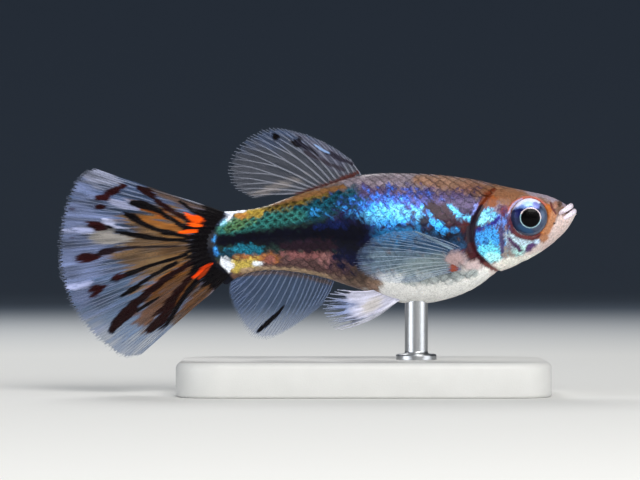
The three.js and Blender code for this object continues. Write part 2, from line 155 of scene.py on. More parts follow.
def from_row(places: Array) -> Array:
    """Maps metres in the row's frame back to behind, out and up."""
    return np.array((SNOUT_X, 0.0, -AXIS_HEIGHT)) + places / MM * (-1, -1, 1)


def to_photo(behind: Array, up: Array) -> tuple[Array, Array]:
    """Maps places on the fish to columns and rows of the photograph."""
    return LIP_COLUMN - behind / PIXEL, AXIS_ROW - up / PIXEL


def line_reach(x: Array, y: Array, line: Array | Sequence[Place]) -> tuple[Array, Array, Array]:
    """Measures places against a broken line.

    Args:
        x: First coordinates of the places.
        y: Second coordinates of the places.
        line: The line's points.

    Returns:
        The distance to the line, how far along it the nearest point lies, counted in
        points, and the side: positive to the left of the line's run.
    """
    best = np.full(x.shape, np.inf)
    along = np.zeros(x.shape)
    side = np.zeros(x.shape)
    for i, ((ax, ay), (bx, by)) in enumerate(zip(line[:-1], line[1:])):
        dx, dy = bx - ax, by - ay
        t = np.clip(((x - ax) * dx + (y - ay) * dy) / (dx * dx + dy * dy), 0, 1)
        d = np.hypot(x - ax - t * dx, y - ay - t * dy)
        nearer = d < best
        best = np.where(nearer, d, best)
        along = np.where(nearer, i + t, along)
        side = np.where(nearer, dx * (y - ay) - dy * (x - ax), side)
    return best, along, np.sign(side)


class Curve:
    """A smooth centripetal curve through a few places, read by the share of its length."""

    SAMPLES = 40

    def __init__(self, points: Sequence[Place]) -> None:
        """Samples the curve.

        Args:
            points: The places that it passes through.
        """
        p = np.asarray(points, float)
        padded = np.vstack([2 * p[0] - p[1], p, 2 * p[-1] - p[-2]])
        spans = [self._span(*four) for four in zip(padded, padded[1:], padded[2:], padded[3:])]
        self.points = np.vstack([*spans, p[-1:]])
        steps = np.hypot(*np.diff(self.points, axis=0).T)
        self.length = np.concatenate([[0], np.cumsum(steps)])

    def _span(self, a: Array, b: Array, c: Array, d: Array) -> Array:
        """Samples the curve between two of its places.

        Args:
            a: The place before the span.
            b: The span's start.
            c: The span's end.
            d: The place after the span.

        Returns:
            Places from b up to c, without c itself.
        """
        t1, t2, t3 = np.sqrt([np.linalg.norm(b - a), np.linalg.norm(c - b), np.linalg.norm(d - c)])
        leave = c - b + t2 * ((b - a) / t1 - (c - a) / (t1 + t2))
        arrive = c - b + t2 * ((d - c) / t3 - (d - b) / (t2 + t3))
        t = np.linspace(0, 1, self.SAMPLES, endpoint=False)[:, None]
        return hermite(t, b, c, leave, arrive)

    def at(self, share: Array) -> Array:
        """Returns the places at shares of the curve's length."""
        wanted = np.asarray(share) * self.length[-1]
        return np.stack([np.interp(wanted, self.length, self.points[:, k]) for k in (0, 1)], -1)


class Grain:
    """Smooth seeded noise in space, from -1 to 1."""

    CELLS = 64

    def __init__(self, seed: int) -> None:
        """Fills a lattice that repeats with random values."""
        self.lattice = np.random.default_rng(seed).uniform(-1, 1, (self.CELLS,) * 3)

    def at(self, places: Array, size: float) -> Array:
        """Reads the noise.

        Args:
            places: Places in millimetres, with X, Y and Z on the last axis.
            size: Size of one cell of the noise.

        Returns:
            One value for each place.
        """
        p = places / size
        cell = np.floor(p).astype(int)
        t = smoothstep(0, 1, p - cell)
        total = np.zeros(p.shape[:-1])
        for corner in range(8):
            step = np.array([corner & 1, corner >> 1 & 1, corner >> 2 & 1])
            i, j, k = np.moveaxis((cell + step) % self.CELLS, -1, 0)
            total += self.lattice[i, j, k] * np.prod(np.where(step, t, 1 - t), -1)
        return total


@dataclass(frozen=True)
class Tone:
    """What a marking is made of.

    Attributes:
        tint: Display colour.
        gleam: How metallic it shines, from 0 to 1.
        rim: How dark the free edges of its scales are; below 0 their middles are dark. Tones
            with a strong rim are also the more speckled.
        veil: How opaque it is on a fin.
    """

    tint: Rgb
    gleam: float = 0.0
    rim: float = 0.35
    veil: float = 1.0


@dataclass(frozen=True)
class Spot:
    """A round or oval marking.

    Attributes:
        at: Its centre in the photograph.
        reach: Its half-sizes in pixels.
        tone: What it is made of.
        lean: Degrees by which its first half-size turns down to the right.
        soft: Share of its reach over which it fades.
        ragged: How far noise moves its edge.
        strength: How fully it covers what lies under it.
    """

    at: Place
    reach: Place
    tone: Tone
    lean: float = 0.0
    soft: float = 0.5
    ragged: float = 0.35
    strength: float = 1.0

    def span(self) -> tuple[Array, float]:
        """Returns its centre, as a list of one, and its longer half-size."""
        return np.array([self.at]), max(self.reach)

    def depth(self, column: Array, row: Array) -> Array:
        """Measures places against the oval.

        Args:
            column: Columns of the photograph.
            row: Rows of the photograph.

        Returns:
            0 at the centre and 1 at the edge.
        """
        c, s = math.cos(math.radians(self.lean)), math.sin(math.radians(self.lean))
        dx, dy = column - self.at[0], row - self.at[1]
        return np.hypot((dx * c + dy * s) / self.reach[0], (dy * c - dx * s) / self.reach[1])


@dataclass(frozen=True)
class Streak:
    """A marking along a line.

    Attributes:
        line: The line's points in the photograph.
        half: Its half-width in pixels at its first points; the last one holds for the rest.
        tone: What it is made of.
        soft: Share of its half-width over which it fades.
        ragged: How far noise moves its edge.
        strength: How fully it covers what lies under it.
    """

    line: tuple[Place, ...]
    half: tuple[float, ...]
    tone: Tone
    soft: float = 0.5
    ragged: float = 0.35
    strength: float = 1.0

    def span(self) -> tuple[Array, float]:
        """Returns its points and its greatest half-width."""
        return np.array(self.line), max(self.half)

    def depth(self, column: Array, row: Array) -> Array:
        """Returns 0 on the line and 1 at the edge."""
        distance, along, _ = line_reach(column, row, self.line)
        return distance / np.interp(along, range(len(self.half)), self.half)


Mark = Spot | Streak


def arc(centre: Place, radius: Place, start: float, end: float, steps: int = 12) -> tuple[Place, ...]:
    """Lays points along an oval arc.

    Args:
        centre: The oval's centre.
        radius: Its half-sizes.
        start: Degrees at which it starts, clockwise in the photograph from the right.
        end: Degrees at which it ends.
        steps: Number of steps.

    Returns:
        The points, one more than the steps.
    """
    turns = np.radians(np.linspace(start, end, steps + 1))
    return tuple(
        (centre[0] + radius[0] * math.cos(t), centre[1] + radius[1] * math.sin(t)) for t in turns
    )


@dataclass
class Coat:
    """Colour and shine of a set of places."""

    tint: Array
    gleam: Array
    rim: Array
    veil: Array


class Painter:
    """Lays markings over a ground, one after another.

    Attributes:
        EDGE: How many half-sizes away from a mark places are still looked at.
        OCTAVES: Shares and sizes, in millimetres, of the noise that frays the marks.
    """

    EDGE = 2.2
    OCTAVES = ((0.6, 0.42), (0.6, 0.17), (0.4, 0.08))
    SHINE = ("gleam", "rim", "veil")

    def __init__(self, ground: Tone, marks: Sequence[Mark], seed: int, torn: float = 1.0) -> None:
        """Readies a painter.

        Args:
            ground: What lies under the marks.
            marks: The marks in the order in which they are laid.
            seed: Of the noise that frays their edges.
            torn: How strong that noise is.
        """
        self.ground = ground
        self.marks = marks
        self.torn = torn
        self.grain = Grain(seed)

    def paint(self, behind: Array, up: Array, places: Array) -> Coat:
        """Works out the coat of a set of places.

        Args:
            behind: Distances behind the lower lip.
            up: Heights above the axis.
            places: The same places in space, in millimetres, which the noise reads.

        Returns:
            The coat, with one value for each place.
        """
        column, row = to_photo(behind, up)
        noise = sum(share * self.grain.at(places, size) for share, size in self.OCTAVES) * self.torn
        shine = (np.full(column.shape, getattr(self.ground, name)) for name in self.SHINE)
        coat = Coat(np.tile(linear(self.ground.tint), column.shape + (1,)), *shine)
        for mark in self.marks:
            self._lay(mark, column, row, noise, coat)
        return coat

    def _lay(self, mark: Mark, column: Array, row: Array, noise: Array, coat: Coat) -> None:
        """Lays one mark over the coat.

        Args:
            mark: The mark.
            column: Columns of the places in the photograph.
            row: Their rows.
            noise: The noise at each place.
            coat: Their coat so far, which the mark changes.
        """
        points, wide = mark.span()
        low, high = points.min(0) - wide * self.EDGE, points.max(0) + wide * self.EDGE
        near = (column > low[0]) & (column < high[0]) & (row > low[1]) & (row < high[1])
        if not near.any():
            return
        depth = mark.depth(column[near], row[near]) + mark.ragged * noise[near]
        cover = smoothstep(1 + mark.soft / 2, 1 - mark.soft / 2, depth) * mark.strength
        coat.tint[near] += cover[..., None] * (linear(mark.tone.tint) - coat.tint[near])
        for name in self.SHINE:
            held = getattr(coat, name)
            held[near] += cover * (getattr(mark.tone, name) - held[near])


class Tree:
    """A tree of nodes, built node by node."""

    def __init__(self, tree: NodeTree) -> None:
        """Takes the tree that the nodes go into."""
        self.tree = tree

    def feed(self, socket: NodeSocket, value: object) -> None:
        """Links a socket to an input, or sets the input's value.

        Args:
            socket: The input.
            value: A socket or a value.
        """
        if isinstance(value, NodeSocket):
            self.tree.links.new(value, socket)
        else:
            socket.default_value = value

    def node(
        self, kind: str, inputs: dict[str | int, object] | None = None, **settings: object
    ) -> Node:
        """Adds a node.

        Args:
            kind: The node's type.
            inputs: Values or sockets for its inputs, by name or number.
            **settings: The node's own properties.

        Returns:
            The new node.
        """
        made = self.tree.nodes.new(kind)
        for key, value in settings.items():
            setattr(made, key, value)
        for key, value in (inputs or {}).items():
            self.feed(made.inputs[key], value)
        return made


class Recipe(Tree):
    """A material's node tree."""

    def __init__(self, name: str) -> None:
        """Starts a material with its shader.

        Args:
            name: The material's name.
        """
        self.material = bpy.data.materials.new(name)
        self.material.use_nodes = True
        super().__init__(self.material.node_tree)
        self.shader = self.tree.nodes["Principled BSDF"]

    def attribute(self, name: str, out: str = "Fac") -> NodeSocket:
        """Reads one of the piece's attributes."""
        return self.node("ShaderNodeAttribute", attribute_name=name).outputs[out]

    def here(self) -> NodeSocket:
        """Reads the place in the piece's own space."""
        return self.node("ShaderNodeTexCoord").outputs["Object"]

    def noise(
        self, size: float, detail: float = 2.0, stretch: Sequence[float] = (1, 1, 1)
    ) -> NodeSocket:
        """Adds noise in the piece's own space.

        Args:
            size: Millimetres across one of its blobs.
            detail: Number of finer layers.
            stretch: How much finer it is along X, Y and Z.

        Returns:
            Values from 0 to 1.
        """
        mapping = self.node("ShaderNodeMapping", {"Vector": self.here(), "Scale": stretch})
        inputs = {"Vector": mapping.outputs[0], "Scale": 1 / (size * MM), "Detail": detail}
        return self.node("ShaderNodeTexNoise", inputs).outputs["Fac"]

    def cells(self, size: float) -> NodeSocket:
        """A random value in each of many small cells about size millimetres across."""
        texture = self.node("ShaderNodeTexVoronoi", {"Vector": self.here(), "Scale": 1 / (size * MM)})
        return self.node("ShaderNodeSeparateColor", {0: texture.outputs["Color"]}).outputs[0]

    def math(self, operation: str, a: object, b: object, clamp: bool = False) -> NodeSocket:
        """Combines two numbers."""
        inputs = {0: a, 1: b}
        return self.node("ShaderNodeMath", inputs, operation=operation, use_clamp=clamp).outputs[0]

    def spread(self, value: object, low: object, high: object) -> NodeSocket:
        """Maps 0 to 1 onto low to high."""
        return self.node("ShaderNodeMapRange", {"Value": value, "To Min": low, "To Max": high}).outputs[0]

    def times(self, tint: object, factor: object) -> NodeSocket:
        """Makes a colour lighter or darker by a factor."""
        return self.node("ShaderNodeVectorMath", {0: tint, "Scale": factor}, operation="SCALE").outputs[0]

    def painted(self, factor: object) -> NodeSocket:
        """The piece's painted colour, made lighter or darker by a factor."""
        return self.times(self.attribute("tint", "Color"), factor)

    def ramp(self, value: object, stops: Sequence[tuple[float, Rgb]]) -> NodeSocket:
        """Maps a number onto a run of display colours.

        Args:
            value: The number.
            stops: Places and colours: the first, the last, and then those between.

        Returns:
            The colour.
        """
        made = self.node("ShaderNodeValToRGB", {0: value})
        bands = made.color_ramp.elements
        for i, (at, tint) in enumerate(stops):
            band = bands[i] if i < 2 else bands.new(at)
            band.position = at
            band.color = (*linear(tint), 1)
        return made.outputs[0]

    def bump(self, height: object, depth: float) -> None:
        """Gives the shader a relief of depth millimetres."""
        made = self.node("ShaderNodeBump", {"Height": height, "Distance": depth * MM, "Strength": 1.0})
        self.set(Normal=made.outputs[0])

    def set(self, **values: object) -> Material:
        """Sets the shader's inputs.

        Args:
            **values: Values or sockets by the input's name, with _ for each space.

        Returns:
            The material.
        """
        for name, value in values.items():
            self.feed(self.shader.inputs[name.replace("_", " ")], value)
        return self.material


@dataclass(frozen=True)
class SkinFinish:
    """Wet skin or scales with painted markings and a pearly gleam.

    Attributes:
        roughness: Of the surface under the slime.
        slime: How strongly the slime shines.
        speckle: Size of the pearly specks in millimetres.
        relief: Depth of the fine relief in millimetres.
        sparkle: How much the specks differ in shade where the skin is dull and where it gleams.
        mottle: How much the fine veins differ in shade where it is smooth and where it is gritty.
        darkest: The least that specks and veins leave of the colour.
        metal: How metallic the dullest and the brightest speck of a gleaming place are.
        flesh: How far light spreads under the skin, in red, green and blue.
    """

    name: str
    roughness: float
    slime: float
    speckle: float
    relief: float
    sparkle: Place = (0.3, 1.7)
    mottle: Place = (0.15, 0.75)
    darkest: float = 0.12
    metal: Place = (0.3, 0.9)
    wet: Place = (0.8, 1.25)
    vein: float = 1.6
    pore: float = 1.4
    flesh: Rgb = (0.9, 0.45, 0.3)

    def material(self) -> Material:
        """Builds the finish.

        Returns:
            The new material.
        """
        recipe = Recipe(self.name)
        cells = recipe.cells(self.speckle)
        fine = recipe.noise(self.speckle * self.vein, detail=4)
        gleam = recipe.attribute("gleam")
        lively = recipe.spread(gleam, *self.sparkle)
        sparkle = recipe.math("MULTIPLY", recipe.math("SUBTRACT", cells, 0.5), lively)
        depth = recipe.math("ADD", recipe.spread(recipe.attribute("grit"), *self.mottle), gleam)
        veins = recipe.spread(fine, recipe.math("SUBTRACT", 1.0, depth), recipe.math("ADD", 1.0, depth))
        shade = recipe.math("MAXIMUM", recipe.math("ADD", sparkle, veins), self.darkest)
        recipe.bump(recipe.noise(self.speckle * self.pore), self.relief)
        smoothest, roughest = (self.roughness * share for share in self.wet)
        return recipe.set(
            Base_Color=recipe.painted(shade),
            Metallic=recipe.math("MULTIPLY", gleam, recipe.spread(cells, *self.metal)),
            Roughness=recipe.spread(fine, smoothest, roughest),
            Specular_IOR_Level=0.1,
            Coat_Weight=self.slime,
            Coat_Roughness=0.15,
            Subsurface_Weight=0.08,
            Subsurface_Radius=self.flesh,
            Subsurface_Scale=0.0004,
        )


@dataclass(frozen=True)
class WebFinish:
    """Thin clear fin web."""

    name: str
    shades: Place = (0.85, 1.15)
    clearness: Place = (0.82, 1.12)

    def material(self) -> Material:
        """Builds the finish.

        Returns:
            The new material.
        """
        recipe = Recipe(self.name)
        fine = recipe.noise(0.12, detail=3)
        clear = recipe.spread(fine, *self.clearness)
        recipe.bump(recipe.noise(0.25), depth=0.02)
        return recipe.set(
            Base_Color=recipe.painted(recipe.spread(fine, *self.shades)),
            Alpha=recipe.math("MULTIPLY", recipe.attribute("veil"), clear, clamp=True),
            Roughness=0.28,
            Specular_IOR_Level=0.08,
        )


@dataclass(frozen=True)
class RayFinish:
    """Bony fin rays, lighter than the web between them."""

    name: str
    shades: Place = (0.75, 1.2)

    def material(self) -> Material:
        """Builds the finish.

        Returns:
            The new material.
        """
        recipe = Recipe(self.name)
        return recipe.set(
            Base_Color=recipe.painted(recipe.spread(recipe.noise(0.16), *self.shades)),
            Alpha=recipe.attribute("veil"),
            Roughness=0.35,
            Specular_IOR_Level=0.1,
        )


@dataclass(frozen=True)
class EyeFinish:
    """Painted iris and pupil, with a painted highlight across the top of the iris, under a clear, wet
    cornea.
    """

    name: str
    shades: Place = (0.8, 1.2)

    def material(self) -> Material:
        """Builds the finish.

        Returns:
            The new material.
        """
        recipe = Recipe(self.name)
        fibres = recipe.noise(0.09, detail=3)
        recipe.bump(fibres, depth=0.012)
        return recipe.set(
            Base_Color=recipe.painted(recipe.spread(fibres, *self.shades)),
            Metallic=recipe.attribute("gleam"),
            Roughness=recipe.spread(fibres, 0.22, 0.4),
            Coat_Weight=0.06,
            Coat_Roughness=0.02,
            Specular_IOR_Level=0.06,
        )


@dataclass(frozen=True)
class SlabFinish:
    """Satin pale grey moulded base."""

    name: str = "stand_slab"
    tint: Rgb = (0.80, 0.80, 0.79)
    shades: Place = (0.93, 1.05)

    def material(self) -> Material:
        """Builds the finish.

        Returns:
            The new material.
        """
        recipe = Recipe(self.name)
        tooth = recipe.noise(0.12)
        recipe.bump(tooth, depth=0.01)
        mottle = recipe.spread(recipe.noise(2.2, detail=4), *self.shades)
        return recipe.set(
            Base_Color=recipe.times(tuple(linear(self.tint)), mottle),
            Roughness=recipe.spread(tooth, 0.42, 0.56),
        )


@dataclass(frozen=True)
class RodFinish:
    """Brushed steel, brushed round the rod."""

    name: str = "stand steel"
    tint: Rgb = (0.74, 0.75, 0.76)
    shades: Place = (0.85, 1.1)

    def material(self) -> Material:
        """Builds the finish.

        Returns:
            The new material.
        """
        recipe = Recipe(self.name)
        brushed = recipe.noise(0.5, detail=3, stretch=(1, 1, 12))
        recipe.bump(brushed, depth=0.008)
        return recipe.set(
            Base_Color=recipe.times(tuple(linear(self.tint)), recipe.spread(brushed, *self.shades)),
            Metallic=1.0,
            Roughness=recipe.spread(brushed, 0.24, 0.4),
        )


@dataclass(frozen=True)
class StageFinish:
    """Pale floor that darkens with distance into a quiet backdrop.

    Attributes:
        reach: Metres from the middle to the darkest places.
        stays: Share of the reach up to which it stays pale.
        turns: Share of the reach at which it has the middle colour.
    """

    name: str = "stage"
    near: Rgb = (0.86, 0.86, 0.85)
    middle: Rgb = (0.46, 0.51, 0.57)
    far: Rgb = (0.30, 0.36, 0.44)
    reach: float = 1.1
    stays: float = 0.1
    turns: float = 0.36

    def material(self) -> Material:
        """Builds the finish.

        Returns:
            The new material.
        """
        recipe = Recipe(self.name)
        distance = recipe.node("ShaderNodeVectorMath", {0: recipe.here()}, operation="LENGTH")
        share = recipe.math("DIVIDE", distance.outputs["Value"], self.reach)
        ends = ((0.0, self.near), (1.0, self.far))
        stops = (*ends, (self.stays, self.near), (self.turns, self.middle))
        return recipe.set(Base_Color=recipe.ramp(share, stops), Roughness=0.85)


def new_piece(
    name: str,
    places: Array,
    faces: Sequence[Face] = (),
    material: Material | None = None,
    edges: Sequence[Face] = (),
) -> Object:
    """Makes a smooth mesh object at the origin.

    Args:
        name: The piece's name.
        places: Its corners in metres.
        faces: Corner numbers of its faces.
        material: What it is made of.
        edges: Corner numbers of the edges that no face has.

    Returns:
        The new object.
    """
    mesh = bpy.data.meshes.new(name)
    mesh.from_pydata(places.reshape(-1, 3).tolist(), edges, faces)
    mesh.update()
    mesh.polygons.foreach_set("use_smooth", np.ones(len(mesh.polygons), bool))
    if material:
        mesh.materials.append(material)
    made = bpy.data.objects.new(name, mesh)
    bpy.context.scene.collection.objects.link(made)
    return made


def write_values(mesh: Mesh, name: str, values: Array) -> None:
    """Stores a number, a vector or a colour for each corner of a mesh.

    Args:
        mesh: The mesh.
        name: The attribute's name.
        values: The values, with a vector's or a colour's parts on the last axis.
    """
    flat = np.ascontiguousarray(values, np.float32).ravel()
    kind, field = FIELDS[flat.size // len(mesh.vertices)]
    mesh.attributes.new(name, kind, "POINT").data.foreach_set(field, flat)


def read_values(mesh: Mesh, name: str, width: int = 1) -> Array:
    """Reads an attribute of the corners of a mesh.

    Args:
        mesh: The mesh.
        name: The attribute's name.
        width: 1 for numbers and 3 for vectors.

    Returns:
        One number, or one row of three, for each corner.
    """
    flat = np.empty(len(mesh.vertices) * width, np.float32)
    mesh.attributes[name].data.foreach_get(FIELDS[width][1], flat)
    return flat.astype(float).reshape((-1, width) if width > 1 else -1)


def write_coat(mesh: Mesh, coat: Coat) -> None:
    """Stores a coat on the corners of a mesh.

    Args:
        mesh: The mesh.
        coat: The coat, with one value for each corner.
    """
    tint = np.clip(coat.tint, 0, 1).reshape(-1, 3)
    write_values(mesh, "tint", np.concatenate([tint, np.ones((len(tint), 1))], 1))
    shine = {"gleam": coat.gleam, "grit": np.abs(coat.rim) * GRIT, "veil": coat.veil}
    for name, values in shine.items():
        write_values(mesh, name, np.clip(values, 0, 1))


def write_bake_map(mesh: Mesh, uv: Array) -> None:
    """Stores a place on the bake's map for each corner of each face."""
    layer = mesh.uv_layers.new(name=BAKE_MAP)
    layer.data.foreach_set("uv", np.ascontiguousarray(uv, np.float32).ravel())


def with_ends(rings: Array) -> Array:
    """Lists the corners of some rings, and then the middles of the first and the last ring."""
    return np.concatenate([rings.reshape(-1, 3), rings[[0, -1]].mean(1)])


def revolve(profile: Sequence[Place], sides: int, centre: Sequence[float] = (0.0, 0.0)) -> Array:
    """Turns a profile round an upright axis.

    Args:
        profile: Radii and heights.
        sides: Number of corners in a ring.
        centre: Where the axis stands.

    Returns:
        The rings' corners.
    """
    radius, height = np.array(profile).T[..., None]
    turns = np.linspace(0, TURN, sides, endpoint=False)
    x, y = centre[0] + radius * np.cos(turns), centre[1] + radius * np.sin(turns)
    return np.stack([x, y, np.broadcast_to(height, x.shape)], -1)


def tube_faces(rings: int, sides: int) -> list[Face]:
    """Lists the faces of a tube of rings, closed by one corner at each end.

    Args:
        rings: Number of rings. The two end corners follow them.
        sides: Number of corners in a ring.

    Returns:
        Corner numbers of the faces.
    """
    faces = []
    for r in range(rings - 1):
        for c in range(sides):
            d = (c + 1) % sides
            faces.append((r * sides + c, (r + 1) * sides + c, (r + 1) * sides + d, r * sides + d))
    first, last = rings * sides, (rings - 1) * sides
    for c in range(sides):
        d = (c + 1) % sides
        faces += [(first, c, d), (first + 1, last + d, last + c)]
    return faces


def orient(piece: Object) -> Object:
    """Turns a closed piece's faces outwards.

    Args:
        piece: The piece.

    Returns:
        The same piece.
    """
    work = bmesh.new()
    work.from_mesh(piece.data)
    bmesh.ops.recalc_face_normals(work, faces=work.faces)
    work.to_mesh(piece.data)
    work.free()
    return piece


class Rule(Tree):
    """A Geometry Nodes tree with named inputs, applied to a piece and then made a plain mesh."""

    def __init__(self, name: str) -> None:
        """Starts a tree with its geometry input and output.

        Args:
            name: The tree's name.
        """
        super().__init__(bpy.data.node_groups.new(name, "GeometryNodeTree"))
        for way in ("INPUT", "OUTPUT"):
            self.tree.interface.new_socket(name="Geometry", in_out=way, socket_type="NodeSocketGeometry")
        self.start = self.tree.nodes.new("NodeGroupInput")
        self.end = self.tree.nodes.new("NodeGroupOutput")
        self.sockets: dict[str, str] = {}

    def input(self, name: str, kind: str) -> NodeSocket:
        """Adds a named input to the tree.

        Args:
            name: Its name.
            kind: What it takes, such as Float.

        Returns:
            The socket that gives its value inside the tree.
        """
        item = self.tree.interface.new_socket(name=name, in_out="INPUT", socket_type="NodeSocket" + kind)
        self.sockets[name] = item.identifier
        return self.start.outputs[name]

    def finish(self, geometry: NodeSocket, material: NodeSocket) -> None:
        """Ends the tree with real geometry in one material.

        Args:
            geometry: What the tree has made.
            material: What it is made of.
        """
        real = self.node("GeometryNodeRealizeInstances", {"Geometry": geometry})
        smooth = self.node("GeometryNodeSetShadeSmooth", {"Geometry": real.outputs[0]})
        inputs = {"Geometry": smooth.outputs[0], "Material": material}
        self.feed(self.end.inputs[0], self.node("GeometryNodeSetMaterial", inputs).outputs[0])

    def apply(self, piece: Object, values: dict[str, object]) -> None:
        """Runs the tree on a piece and keeps the result as its plain mesh, without a modifier.

        Args:
            piece: The object whose mesh goes into the tree.
            values: The tree's inputs by name.
        """
        modifier = piece.modifiers.new(self.tree.name, "NODES")
        modifier.node_group = self.tree
        for name, value in values.items():
            modifier[self.sockets[name]] = value
        evaluated = piece.evaluated_get(bpy.context.evaluated_depsgraph_get())
        mesh = bpy.data.meshes.new_from_object(evaluated)
        piece.modifiers.clear()
        old, piece.data = piece.data, mesh
        bpy.data.meshes.remove(old)
        mesh.name = piece.name


def settle(piece: Object, nodes: Sequence[str] = ()) -> None:
    """Puts a finished piece on its body.

    Args:
        piece: The piece.
        nodes: The nodes that it stands for.
    """
    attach(piece, BODY)
    if nodes:
        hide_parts(*nodes)
    log.info("%s: %d faces", piece.name, len(piece.data.polygons))


@dataclass(frozen=True)
class Station:
    """A section of the body, in millimetres.

    Attributes:
        behind: Distance behind the lower lip.
        back: Height of the back above the axis.
        belly: Height of the belly above the axis.
        half: Half the width.
        widest: Height of the widest place.
        crown: How square the upper half is; 2 is an ellipse.
    """

    behind: float
    back: float
    belly: float
    half: float
    widest: float
    crown: float


STATIONS = (
    Station(0.13, 2.05, 1.9, 0.35, 1.98, 2.2),
    Station(0.7, 2.6, 0.9, 1.15, 1.8, 2.3),
    Station(1.82, 3.29, -0.28, 1.7, 1.65, 2.6),
    Station(4.15, 3.93, -1.9, 2.3, 1.45, 2.8),
    Station(7.1, 4.52, -3.15, 2.8, 0.7, 2.6),
    Station(8.82, 4.92, -4.37, 3.05, 0.2, 2.3),
    Station(10.99, 5.22, -5.28, 3.2, -0.4, 2.1),
    Station(14.88, 5.47, -5.69, 3.15, -0.9, 2.0),
    Station(18.61, 5.3, -4.56, 2.65, -0.4, 2.0),
    Station(22.67, 4.11, -3.27, 1.9, 0.0, 2.0),
    Station(27.0, 2.75, -2.84, 1.25, -0.1, 2.1),
    Station(30.46, 2.26, -3.38, 0.8, -0.5, 2.2),
    Station(32.6, 2.2, -4.1, 0.6, -0.8, 2.2),
)
GILL_SLIT = (
    (6.6, 5.6), (7.2, 4.05), (8.15, 3.2), (8.95, 1.9), (9.26, 0.6),
    (9.15, -0.7), (8.55, -1.65), (7.7, -2.45), (6.65, -3.0), (6.0, -3.9),
)
COVER_FRONT = ((6.7, -2.55), (6.15, -1.6), (6.05, 0.0), (6.4, 1.6), (6.95, 2.95))


@dataclass(frozen=True)
class EyePlace:
    """Where an eye sits and how large it is, in millimetres."""

    behind: float = 4.3
    up: float = 1.69
    radius: float = 1.66
    depth: float = 0.95
    bulge: float = 0.32


EYE = EyePlace()


@dataclass
class BodyForm:
    """The smooth body through its stations.

    Attributes:
        curved: Distances behind the lip over which the stem's sections start to curve.
        taper: Distances behind the lip over which the stem thins to its end.
    """

    stations: tuple[Station, ...] = STATIONS
    curved: Place = (25.0, 31.9)
    stem_level: float = -0.6
    stem_bend: float = 0.19
    taper: Place = (30.9, 32.9)
    thin: float = 0.16
    nudge: float = 0.002

    def __post_init__(self) -> None:
        """Works out the slopes at the stations."""
        self.at = np.array([s.behind for s in self.stations])
        self.values = {
            key: np.array([getattr(s, key) for s in self.stations])
            for key in ("back", "belly", "half", "widest", "crown")
        }
        self.slopes = {key: self._slopes(values) for key, values in self.values.items()}

    def _slopes(self, values: Array) -> Array:
        """Finds the slope at each station, weighted towards the nearer neighbour.

        Args:
            values: A value for each station.

        Returns:
            A slope for each station.
        """
        span = np.diff(self.at)
        rise = np.diff(values) / span
        inner = (rise[:-1] * span[1:] + rise[1:] * span[:-1]) / (span[:-1] + span[1:])
        return np.concatenate([rise[:1], inner, rise[-1:]])

    def value(self, key: str, behind: Array) -> Array:
        """Reads a smooth value through the stations.

        Args:
            key: Which of a station's values.
            behind: Distances behind the lip.

        Returns:
            The value at each distance.
        """
        i = np.clip(np.searchsorted(self.at, behind) - 1, 0, len(self.at) - 2)
        span = self.at[i + 1] - self.at[i]
        t = np.clip((behind - self.at[i]) / span, 0, 1)
        held, slope = self.values[key], self.slopes[key]
        return hermite(t, held[i], held[i + 1], span * slope[i], span * slope[i + 1])

    def place(self, along: Array, turn: Array) -> Array:
        """Finds a place on the skin.

        Args:
            along: Distance behind the lip, before the stem's end bends it.
            turn: Angle round the section, 0 at the back and growing down the right side.

        Returns:
            behind, out and up on the last axis.
        """
        along, turn = np.broadcast_arrays(along, turn)
        back, belly, half, widest, crown = (self.value(key, along) for key in self.values)
        thin = smoothstep(*self.taper, along)
        half = half * (1 - thin) + self.thin * thin
        c, s = np.cos(turn), np.sin(turn)
        power = np.where(c > 0, 2 / crown, 1)
        out = half * np.sign(s) * np.abs(s) ** power
        above = np.abs(c) ** power * (back - widest)
        below = c * (widest - belly)
        up = widest + np.where(c > 0, above, below)
        bend = self.stem_bend * smoothstep(*self.curved, along)
        return np.stack([along - bend * (up - self.stem_level) ** 2, out, up], -1)

    def normal(self, along: Array, turn: Array) -> Array:
        """Finds the outward normal at a place on the skin.

        Args:
            along: Distance behind the lip.
            turn: Angle round the section.

        Returns:
            The normal, on the last axis.
        """
        step = self.nudge
        lengthwise = self.place(along + step, turn) - self.place(along - step, turn)
        crosswise = self.place(along, turn + step) - self.place(along, turn - step)
        return unit(np.cross(lengthwise, crosswise))

    def half_width(self, behind: float, up: float) -> float:
        """Measures half the body's width at a level.

        Args:
            behind: Distance behind the lip.
            up: Height above the axis.

        Returns:
            The distance from the middle plane to the skin.
        """
        widest = self.value("widest", behind)
        above = up > widest
        reach = abs(self.value("back" if above else "belly", behind) - widest)
        crown = self.value("crown", behind) if above else 2.0
        share = min(abs(up - widest) / reach, 1.0)
        return float(self.value("half", behind) * (1 - share**crown) ** (1 / crown))


FORM = BodyForm()

# After its tone, a spot has its lean, softness, raggedness and strength, and a streak its
# softness, raggedness and strength. After its tint, a tone has its gleam and its rim.
BROWN = Tone((0.42, 0.31, 0.27), rim=0.3)
MAUVE = Tone((0.51, 0.46, 0.50), gleam=0.15, rim=0.4)
TAN = Tone((0.54, 0.41, 0.34), rim=0.45)
MAROON = Tone((0.27, 0.12, 0.13), gleam=0.1)
DUSK = Tone((0.30, 0.20, 0.34), gleam=0.2)
VIOLET = Tone((0.31, 0.26, 0.40), gleam=0.2, rim=0.4)
BLUE = Tone((0.20, 0.42, 0.85), gleam=0.6, rim=0.5)
CYAN = Tone((0.22, 0.62, 0.94), gleam=0.6, rim=0.45)
ICE = Tone((0.48, 0.84, 0.98), gleam=0.45, rim=0.3)
NAVY = Tone((0.045, 0.06, 0.18), gleam=0.25, rim=0.2)
BLACK = Tone((0.016, 0.020, 0.075), gleam=0.05, rim=0.1)
TEAL = Tone((0.07, 0.29, 0.36), gleam=0.5, rim=-0.8)
